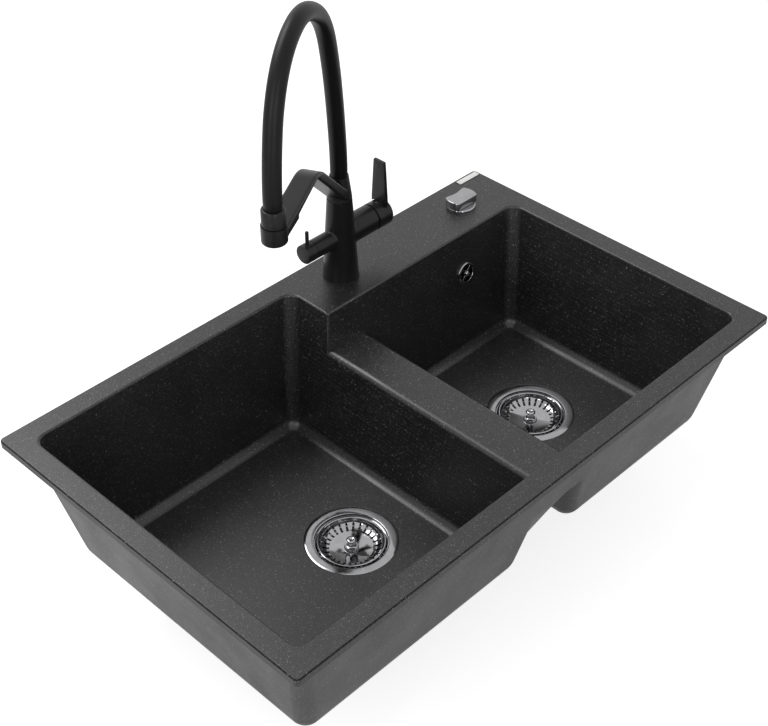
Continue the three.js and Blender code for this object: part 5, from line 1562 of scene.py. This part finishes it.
@dataclass
class WasteControl:
    """The turning knob on the tap deck; lengths stand on the deck's top."""

    place: Triple
    radius: float = 21.8
    half_width: float = 12.4
    hollow: float = 2.4
    bottom: float = 3.3
    top: float = 15.0
    edge: float = 1.1
    flange_radius: float = 20.2
    flange_thickness: float = 2.7
    sleeve_radius: float = 16.0
    sleeve_length: float = 35.0
    sleeve_wall: float = 3.0
    bridge: float = 6.0
    shaft_radius: float = 5.0

    def _outline(self) -> list[Pair]:
        """The knob seen from above: two arcs, a flat front and a hollow back.

        Returns:
            The outline, anticlockwise.
        """
        corner = math.asin(self.half_width / self.radius)
        reach = self.radius * math.cos(corner)
        arcs = [
            [
                (self.radius * math.cos(a), self.radius * math.sin(a))
                for a in spread(middle - corner, middle + corner, 14)
            ]
            for middle in (0.0, math.pi)
        ]
        back = [
            (reach * share, self.half_width - self.hollow * math.cos(share * math.pi / 2) ** 2)
            for share in spread(0.9, -0.9, 18)
        ]
        return arcs[0] + back + arcs[1]

    def _knob(self) -> Form:
        """The grip with rounded edges, bored for the shaft."""
        knob = Form.prism(self._outline(), self.bottom, self.top).bevel(self.edge, 4, 50)
        return knob.cut(Form.disc(self.shaft_radius + GAP, self.bottom - 1, self.top - 2.7, 32)).smooth(40)

    def _sleeve(self) -> Form:
        """The polished base flange with its sleeve through the deck.

        Returns:
            The form, standing on the deck's top.
        """
        bore, chamber = self.shaft_radius + GAP, self.sleeve_radius - self.sleeve_wall
        top, outer = GAP + self.flange_thickness, self.flange_radius
        return Form.turned([
            (bore, -self.bridge), (chamber, -self.bridge), (chamber, -self.sleeve_length),
            (self.sleeve_radius, -self.sleeve_length), (self.sleeve_radius, GAP), (outer, GAP),
            (outer, top - 1.3), (outer - 0.25, top - 0.7), (outer - 0.9, top - 0.2), (outer - 1.8, top),
            (bore, top),
        ], 96).smooth(34)

    def build(self) -> None:
        """Models and dresses the control."""
        metal = WARDROBE.turned_at(Slot.GUNMETAL, self.place)
        knob, sleeve = self._knob().move(*self.place), self._sleeve().move(*self.place)
        dress(knob, "turning_knob", "control", Slot.GUNMETAL, ["control_knob"], metal)
        dress(sleeve, "base_flange", "root", Slot.GUNMETAL, ["control_sleeve"], metal)


# ---------------------------------------------------------------- tap


@dataclass
class Tap:
    """Column, valve housings and both handles; heights stand on the deck's top."""

    place: Triple
    foot: float = 1.6
    base_radius: float = 23.2
    middle: Pair = (19.8, 60.0)
    crown: Pair = (16.0, 118.0)
    spigot: Pair = (11.0, 138.0)
    spigot_bore: float = 7.0
    column_bore: float = 10.0
    socket: Pair = (16.3, 15.0)
    valve_height: float = 62.5
    mixer_radius: float = 18.0
    mixer_reach: float = 52.0
    mixer_bore: Pair = (14.5, 22.0)
    filter_radius: float = 12.5
    filter_reach: float = 48.0
    filter_bore: Pair = (9.0, -20.0)
    hub_start: float = 52.3
    hub_length: float = 27.0
    hub_round: float = 3.0
    seam_groove: Pair = (2.8, 2.2)
    lever_x: float = 71.0
    lever_thickness: float = 4.0
    lever_foot: float = 26.0
    lever_top: float = 18.4
    lever_height: float = 77.5
    lever_rounds: Pair = (14.0, 1.6)
    lever_edge: float = 0.55
    lever_dimple: float = 0.9
    tang: float = 14.0
    barrel: float = 4.6
    pin_radius: float = 1.8
    swing: float = 15.0
    grub: Pair = (64.4, 2.0)
    grub_length: float = 10.0
    grub_socket: float = 1.1
    spindle_radius: float = 4.0
    spindle_in_hub: float = 9.0
    filter_hub: Pair = (-48.3, -64.3)
    filter_round: float = 1.6
    filter_spindle: Pair = (3.5, -56.3)
    filter_lever_x: float = -56.5
    filter_lever_radius: float = 2.4
    filter_dome: float = 1.2
    filter_lever_span: Pair = (68.0, 94.0)
    voxel: float = 0.75

    def _across(self, form: Form) -> Form:
        """Lays a form made about Z along +X at the valves' height."""
        return form.turn(90, "Y").move(0, 0, self.valve_height)

    def _at_pin(self, form: Form) -> Form:
        """Lays a form made about Z along the lever pin, which runs from front to back."""
        return form.turn(90, "X").move(self.lever_x, 0, self.valve_height)

    def _body(self) -> Form:
        """The cast column, whose housings flow into it, bored inside.

        Returns:
            The form, standing on the deck's top.
        """
        slope = (self.base_radius - self.middle[0]) / (self.middle[1] - self.foot)
        rise = (self.middle[0] - self.crown[0]) / (self.crown[1] - self.middle[1])
        body = Form.turned([
            (0, self.foot - 3), (self.base_radius + 3 * slope, self.foot - 3), self.middle,
            (self.crown[0] - 3 * rise, self.crown[1] + 3), (0, self.crown[1] + 3),
        ], 96)
        body.join(
            self._across(Form.disc(self.mixer_radius, 0, self.mixer_reach + 3, 72)),
            self._across(Form.disc(self.filter_radius, -self.filter_reach - 3, 0, 64)),
        )
        body.cast(self.voxel, smoothing=22, keep=0.35)
        trim = (2 * self.base_radius + 10, 2 * self.base_radius + 10, 12)
        wide = (12, 60, 60)
        body.cut(
            Form.block(trim, (0, 0, self.foot - 6)),
            Form.block((40, 40, 12), (0, 0, self.crown[1] + 6)),
            Form.block(wide, (self.mixer_reach + 6, 0, self.valve_height)),
            Form.block(wide, (-self.filter_reach - 6, 0, self.valve_height)),
        )
        body.join(Form.disc(self.spigot[0], self.crown[1] - 5, self.spigot[1], 48))
        bore, start = self.mixer_bore
        filter_bore, filter_end = self.filter_bore
        return body.cut(
            Form.disc(self.socket[0], 0, self.socket[1], 40),
            Form.disc(self.column_bore, 0, self.crown[1] - 20, 40),
            Form.disc(self.spigot_bore, 0, self.spigot[1] + 1, 32),
            self._across(Form.disc(bore, start, self.mixer_reach + 1, 48)),
            self._across(Form.disc(filter_bore, -self.filter_reach - 1, filter_end, 40)),
        ).smooth(38)

    def _mixer_hub(self) -> Form:
        """The turning hub, slotted for the lever.

        Returns:
            The form, in its place on the tap.
        """
        start, end, radius = self.hub_start, self.hub_start + self.hub_length, self.mixer_radius
        curve = [
            (radius - self.hub_round * (1 - math.cos(a)), end - self.hub_round * (1 - math.sin(a)))
            for a in quarter(7)
        ]
        groove, lip = self.seam_groove
        hub = self._across(Form.turned([
            (0, start), (radius - lip, start), (radius - lip, start + groove - 0.3),
            (radius - 0.3, start + groove), (radius, start + groove + 0.3), *curve, (0, end),
        ], 96))
        half, height = self.lever_thickness / 2 + GAP, radius + 2
        lean = math.radians(self.swing)
        foot = half / math.cos(lean)
        outline = [(-half, 0), (foot, 0), (foot + height * math.tan(lean), height), (-half, height)]
        width = self.tang / 2 + GAP
        slot = self._at_pin(Form.prism(outline, -width, width))
        pocket = self._at_pin(Form.disc(self.barrel + GAP, -width, width, 40))
        pin = self._at_pin(Form.disc(self.pin_radius + GAP, -radius - 1, radius + 1, 24))
        grub_x, grub_radius = self.grub
        grub = Form.disc(grub_radius + GAP, self.spindle_radius, radius + 2, 24)
        grub.move(grub_x, 0, self.valve_height)
        spindle = Form.disc(self.spindle_radius + GAP, start - 1, start + self.spindle_in_hub + GAP, 32)
        return hub.cut(slot, pocket, pin, grub, self._across(spindle)).smooth(38)

    def _mixer_lever(self) -> Form:
        """The flat tapered blade with its tang, barrel and a small dimple.

        Returns:
            The form, in its place on the tap.
        """
        half, foot, top = self.lever_thickness / 2, self.lever_foot / 2, self.lever_top / 2
        shoulder = self.mixer_radius + 4
        corners = [
            (-foot, 0), (foot, 0), (foot, shoulder), (top, self.lever_height), (-top, self.lever_height),
            (-foot, shoulder),
        ]
        side, tip = self.lever_rounds
        blade = Form.prism(rounded(corners, [0, 0, side, tip, tip, side], 6), -half, half)
        blade.bevel(self.lever_edge, 3, 50)
        clear = (self.mixer_radius + GAP) / math.cos(math.radians(self.swing))
        blade.cut(Form.disc(clear, -2 * half, 2 * half, 96))
        dimple = Form.disc(self.lever_dimple, -half - 1, -half + 0.5, 20)
        blade.cut(dimple.move(0, self.lever_height - 9, 0))
        blade.join(Form.block((self.tang, clear + 1, 2 * half), (0, (clear + 1) / 2, 0)))
        blade.turn(90, "X").turn(90, "Z")
        blade.join(Form.disc(self.barrel, -self.tang / 2, self.tang / 2, 40).turn(90, "X"))
        blade.cut(Form.disc(self.pin_radius + GAP, -self.tang, self.tang, 24).turn(90, "X"))
        return blade.move(self.lever_x, 0, self.valve_height).smooth(34)

    def _filter_hub(self) -> Form:
        """The small turning end of the filter valve, bored for its pin lever.

        Returns:
            The form, in its place on the tap.
        """
        start, end = self.filter_hub
        radius, (spindle, socket) = self.filter_radius, self.filter_spindle
        curve = [
            (radius - self.filter_round * (1 - math.sin(a)), end + self.filter_round * (1 - math.cos(a)))
            for a in quarter(5)
        ]
        hub = self._across(Form.turned([
            (0, end), *curve, (radius, start - 0.5), (radius - 0.5, start), (spindle + GAP, start),
            (spindle + GAP, socket), (0, socket),
        ], 72))
        low, high = self.filter_lever_span[0] - GAP, self.valve_height + radius + 1
        hole = Form.disc(self.filter_lever_radius + GAP, low, high, 24).move(self.filter_lever_x, 0, 0)
        return hub.cut(hole).smooth(38)

    def _filter_lever(self) -> Form:
        """The slim pin lever with a domed end.

        Returns:
            The form, in its place on the tap.
        """
        radius, (low, high) = self.filter_lever_radius, self.filter_lever_span
        dome = [(radius * math.cos(a), high - self.filter_dome * (1 - math.sin(a))) for a in quarter(5)[:-1]]
        pin = Form.turned([(0, low), (radius, low), *dome, (0, high)], 32)
        return pin.move(self.filter_lever_x, 0, 0).smooth(40)

    def _grub(self) -> Form:
        """The grub screw with its hexagon socket.

        Returns:
            The form, in its place on the tap.
        """
        grub_x, radius = self.grub
        top = self.valve_height + self.mixer_radius - 0.8
        end = top - self.grub_length
        screw = Form.turned([
            (0, end), (radius, end), (radius, top - 0.4), (radius - 0.4, top), (0, top),
        ], 24)
        return screw.cut(Form.disc(self.grub_socket, top - 1.4, top + 1, 6)).move(grub_x, 0, 0).smooth(30)

    def build(self) -> None:
        """Models and dresses the tap."""
        pieces = [
            (self._body(), "tap_column", "root", Slot.BLACK, "tap_body"),
            (self._mixer_hub(), "mixer_end", "mixer", Slot.BLACK, "mixer_hub"),
            (self._grub(), "mixer_grub", "mixer", Slot.STEEL, "hub_grub_screw"),
            (self._mixer_lever(), "mixer_blade", "lever", Slot.BLACK, "mixer_lever"),
            (self._filter_hub(), "filter_end", "filter_handle", Slot.BLACK, "filter_hub"),
            (self._filter_lever(), "filter_pin", "filter_handle", Slot.BLACK, "filter_lever"),
        ]
        for form, name, body, slot, node in pieces:
            dress(form.move(*self.place), name, body, slot, [node])


# ---------------------------------------------------------------- spout


@dataclass
class Spout:
    """Docking arm, hose and nozzle in the spout's own plane; it points along the local +X."""

    place: Triple
    heading: float = 208.0
    reach: float = 226.0
    collar: tuple[Pair, Pair] = ((16.0, 119.6), (12.0, 150.0))
    swivel: Pair = (11.3, 138.3)
    water_way: float = 7.0
    width: float = 27.0
    top: float = 215.0
    bend_top: float = 222.0
    thickness: float = 7.0
    neck: float = 12.0
    bends: Pair = (18.0, 52.0)
    rise: float = 42.0
    root_drop: float = 21.4
    edge: float = 3.2
    block_length: float = 46.0
    block_rise: float = 3.0
    dock: Pair = (15.0, 12.3)
    dock_span: Pair = (200.0, 222.0)
    nozzle_radius: float = 13.8
    nozzle_bore: float = 9.6
    nozzle_span: Pair = (222.3, 243.0)
    aerator_thickness: float = 5.0
    jet_radius: float = 0.55
    jet_circles: tuple[tuple[float, int], ...] = ((2.4, 6), (4.6, 12), (6.6, 18))
    hose_radius: float = 10.85
    hose_steps: int = 170
    hose_waist: Pair = (0.5, 0.012)
    rising: tuple[Pair, ...] = (
        (0, 0.3), (0, 12), (1, 34), (5, 70), (12, 116), (22, 162), (38, 209), (57, 236), (79, 252.6),
    )
    falling: tuple[Pair, ...] = (
        (-122, 170.1), (-98, 172.0), (-74, 166.3), (-53, 155), (-33, 135), (-17, 106), (-8, 74), (-2, 38),
        (0, 12), (0, 0.3),
    )
    voxel: float = 0.7

    def _stand(self, form: Form) -> Form:
        """Brings a form from the spout's plane to its place on the tap."""
        return form.turn(self.heading, "Z").move(*self.place)

    def _outline(self) -> list[Pair]:
        """The arm from the side: up from the collar, over the bend and level out to the dock.

        Returns:
            The outline as distance from the column's axis and height.
        """
        slope = math.tan(math.radians(self.rise))
        underside, bend = self.top - self.thickness, self.bend_top - self.thickness
        drop = self.neck / math.cos(math.radians(self.rise))
        axis_height = self.collar[1][1] - self.root_drop
        root = self.collar[1][0] / 2
        low = self.dock_span[0] + self.block_rise
        start = self.reach - self.block_length
        corners = [
            (root, axis_height + slope * root), (root, axis_height + slope * root - drop),
            ((bend + drop - axis_height) / slope, bend), (start, underside), (start, low),
            (self.reach, low), (self.reach, self.top), ((self.bend_top - axis_height) / slope, self.bend_top),
        ]
        return rounded(corners, [0, 0, self.bends[0], 0, 0, 0, 0, self.bends[1]], 14)

    def _arm(self) -> Form:
        """Collar, strap and dock cup in one casting.

        Returns:
            The form, in the spout's own plane.
        """
        (low_radius, low), (high_radius, high) = self.collar
        slope = (low_radius - high_radius) / (high - low)
        arm = Form.turned([
            (0, low - 3), (low_radius + 3 * slope, low - 3), (high_radius - 3 * slope, high + 3),
            (0, high + 3),
        ], 80)
        strap = Form.prism(self._outline(), -self.width / 2, self.width / 2).turn(90, "X")
        strap.bevel(self.edge, 3, 50)
        outer, bore = self.dock
        bottom, top = self.dock_span
        dock = Form.turned([
            (0, bottom - 0.2), (outer - 1.6, bottom - 0.2), (outer, bottom + 1.4), (outer, top + 3),
            (0, top + 3),
        ], 80).move(self.reach, 0, 0)
        arm.join(strap, dock).cast(self.voxel, smoothing=4, keep=0.4)
        return arm.cut(
            Form.disc(30, low - 12, low, 24),
            Form.disc(high_radius + 1.2, high, high + 12, 48),
            Form.disc(outer + 3, top, top + 12, 24).move(self.reach, 0, 0),
            Form.disc(bore, bottom - 2, top + 1, 64).move(self.reach, 0, 0),
            Form.disc(self.swivel[0], low - 1, self.swivel[1], 48),
            Form.disc(self.water_way, low, high + 1, 40),
        ).smooth(38)

    def _route(self) -> list[Vector]:
        """The hose's centre line as evenly spaced points on a centripetal spline.

        Returns:
            The points from the collar to the nozzle.
        """
        start, end = self.collar[1][1], self.nozzle_span[1]
        knots = [Vector((s, 0, start + z)) for s, z in self.rising]
        knots += [Vector((self.reach + s, 0, end + z)) for s, z in self.falling]
        fine: list[Vector] = []
        between = 24
        for i in range(len(knots) - 1):
            first, second = knots[i], knots[i + 1]
            before = knots[i - 1] if i else 2 * first - second
            after = knots[i + 2] if i + 2 < len(knots) else 2 * second - first
            gaps = [math.sqrt((b - a).length) for a, b in ((before, first), (first, second), (second, after))]
            leave = ((first - before) / gaps[0] - (second - before) / (gaps[0] + gaps[1])
                     + (second - first) / gaps[1]) * gaps[1]
            arrive = ((second - first) / gaps[1] - (after - first) / (gaps[1] + gaps[2])
                      + (after - second) / gaps[2]) * gaps[1]
            for k in range(between):
                t = k / between
                square = -3 * first + 3 * second - 2 * leave - arrive
                cube = 2 * first - 2 * second + leave + arrive
                fine.append(first + leave * t + square * t * t + cube * t ** 3)
        fine.append(knots[-1])
        return evenly(fine, self.hose_steps)

    def _hose(self) -> Form:
        """The soft hose, slightly waisted where it enters the collar and the nozzle.

        Returns:
            The form, in the spout's own plane.
        """
        waist, reach = self.hose_waist

        def radius(share: float) -> float:
            """The hose's radius along its length."""
            return self.hose_radius - waist * max(0.0, 1 - min(share, 1 - share) / reach)

        return Form.tube(self._route(), radius, 48).smooth(50)

    def _nozzle(self) -> Form:
        """The nozzle that stands in the dock, bored for the aerator and the hose's water.

        Returns:
            The form, in the spout's own plane.
        """
        seat, top = self.nozzle_span
        shank, outer, bore = self.dock[1] - GAP, self.nozzle_radius, self.nozzle_bore
        bottom = self.dock_span[0] + 1
        return Form.turned([
            (bore, bottom), (shank - 0.8, bottom), (shank, bottom + 0.8), (shank, seat), (outer - 0.3, seat),
            (outer, seat + 0.3), (outer, top - 2.0), (outer - 0.5, top - 0.8), (outer - 1.4, top - 0.1),
            (outer - 2.2, top), (self.water_way, top), (self.water_way, seat + 4), (bore, seat + 4),
        ], 80).move(self.reach, 0, 0).smooth(34)

    def _aerator(self) -> Form:
        """The aerator insert with its ring and grid of jets.

        Returns:
            The form, in the spout's own plane.
        """
        bottom, radius = self.dock_span[0] + 0.5, self.nozzle_bore - GAP
        plate = Form.turned([
            (0, bottom + 0.8), (radius - 1.6, bottom + 0.8), (radius - 1.2, bottom + 0.1),
            (radius - 0.6, bottom), (radius, bottom + 0.5), (radius, bottom + self.aerator_thickness),
            (0, bottom + self.aerator_thickness),
        ], 64)
        jets = [
            Form.disc(self.jet_radius, bottom - 1, bottom + 3, 12).move(out, 0, 0).copies(count)
            for out, count in self.jet_circles
        ]
        return plate.cut(*jets).move(self.reach, 0, 0).smooth(34)

    def build(self) -> None:
        """Models and dresses the spout."""
        pieces = [
            (self._arm(), "dock_arm", Slot.BLACK, "docking_arm"),
            (self._hose(), "soft_hose", Slot.HOSE, "spout_hose"),
            (self._nozzle(), "nozzle", Slot.BLACK, "spray_nozzle"),
            (self._aerator(), "jet_insert", Slot.PLASTIC, "aerator"),
        ]
        for form, name, slot, node in pieces:
            dress(self._stand(form), name, "spout", slot, [node])


# ---------------------------------------------------------------- studio


TAP_MIDDLE: Triple = (90.0, 197.0, 100.0)


@dataclass(frozen=True)
class Lamp:
    """A soft rectangular lamp that looks at a target; places and sides are millimetres."""

    name: str
    place: Triple
    target: Triple
    sides: Pair
    watts: float

    def build(self) -> None:
        """Hangs the lamp."""
        data = bpy.data.lights.new(self.name, "AREA")
        data.shape = "RECTANGLE"
        data.size, data.size_y = (side * MM for side in self.sides)
        data.energy = self.watts
        lamp = bpy.data.objects.new(self.name, data)
        lamp.location = Vector(self.place) * MM
        lamp.rotation_euler = (Vector(self.target) - Vector(self.place)).to_track_quat("-Z", "Y").to_euler()
        bpy.context.scene.collection.objects.link(lamp)


@dataclass
class Studio:
    """Floor, lamps, world and the camera at the photograph's angle."""

    camera_place: Triple = (-997.2, -945.2, 1139.2)
    azimuth: float = -45.59
    elevation: float = 38.97
    lens: float = 70.66
    sensor: float = 36.0
    ambient: float = 0.45
    floor_size: float = 12000.0
    floor_grey: float = 0.56
    floor_roughness: float = 0.9
    floor_seen: float = 0.76
    floor_mirrored: float = 0.40
    lamps: tuple[Lamp, ...] = (
        Lamp("key", (-300, 1500, 1900), (0, 0, 0), (1500, 1100), 28),
        Lamp("left_strip", (-2000, -300, 900), TAP_MIDDLE, (260, 1700), 9),
        Lamp("front_strip", (-1100, -2000, 800), TAP_MIDDLE, (300, 1700), 10),
    )

    def _camera(self) -> None:
        """Sets the camera."""
        data = bpy.data.cameras.new("camera")
        data.lens = self.lens
        data.sensor_width = self.sensor
        camera = bpy.data.objects.new("camera", data)
        a, e = math.radians(self.azimuth), math.radians(self.elevation)
        back = Vector((math.sin(a) * math.cos(e), -math.cos(a) * math.cos(e), math.sin(e)))
        right = Vector((math.cos(a), math.sin(a), 0))
        up = back.cross(right)
        turn = Matrix((right, up, back)).transposed().to_4x4()
        camera.matrix_world = Matrix.Translation(Vector(self.camera_place) * MM) @ turn
        bpy.context.scene.collection.objects.link(camera)
        bpy.context.scene.camera = camera

    def _world(self) -> None:
        """A white background with a softer light of its own."""
        world = bpy.data.worlds.new("studio")
        bpy.context.scene.world = world
        world.use_nodes = True
        nodes = Nodes(world.node_tree)
        background = world.node_tree.nodes["Background"]
        path = nodes.add("ShaderNodeLightPath")
        seen = nodes.math("MAXIMUM", path.outputs["Is Camera Ray"], path.outputs["Is Glossy Ray"])
        seen = nodes.math("MAXIMUM", seen, path.outputs["Is Transmission Ray"])
        background.inputs["Color"].default_value = (1, 1, 1, 1)
        nodes.feed(background.inputs["Strength"], nodes.span(seen, 0.0, 1.0, self.ambient, 1.0))

    def _floor(self) -> None:
        """A pale floor just below the part, white to the camera where no shadow falls."""
        low = CAD_BOX[0][2] / MM - 1
        half = self.floor_size / 2
        form = Form.prism(rectangle(-half, half, -half, half), low - 10, low)
        material, nodes, shader = new_material("pale_floor")
        shader.inputs["Base Color"].default_value = (*[self.floor_grey] * 3, 1)
        shader.inputs["Roughness"].default_value = self.floor_roughness
        path = nodes.add("ShaderNodeLightPath")
        mirrored = nodes.math("MAXIMUM", path.outputs["Is Glossy Ray"], path.outputs["Is Transmission Ray"])
        mirrored = nodes.math("MULTIPLY", mirrored, self.floor_mirrored)
        seen = nodes.math("MULTIPLY", path.outputs["Is Camera Ray"], self.floor_seen)
        shader.inputs["Emission Color"].default_value = (1, 1, 1, 1)
        nodes.feed(shader.inputs["Emission Strength"], nodes.math("MAXIMUM", seen, mirrored))
        obj = form.obj
        obj.name = "floor"
        obj.data.transform(Matrix.Scale(MM, 4))
        obj.data.materials.append(material)

    def build(self) -> None:
        """Sets the whole studio."""
        bpy.context.scene.view_settings.view_transform = "Standard"
        self._camera()
        self._world()
        self._floor()
        for lamp in self.lamps:
            lamp.build()


def main() -> None:
    """Builds the studio and every sub-assembly in order."""
    logging.basicConfig(level=logging.INFO, format="%(name)s %(message)s")
    Studio().build()
    dress_solids()
    sink = SinkBody()
    sink.build()
    NamePlate().build()
    left, right = sink.drains
    Waste("left", (*left, sink.floors[0]), screw_radius=3.0, remote=False).build()
    Waste("right", (*right, sink.floors[1]), screw_radius=5.0, remote=True).build()
    Overflow(sink.overflow_frame()).build()
    tap_seat, control_seat = sink.deck_seats
    WasteControl(control_seat).build()
    Tap(tap_seat).build()
    Spout(tap_seat).build()


if __name__ == "__main__":
    main()
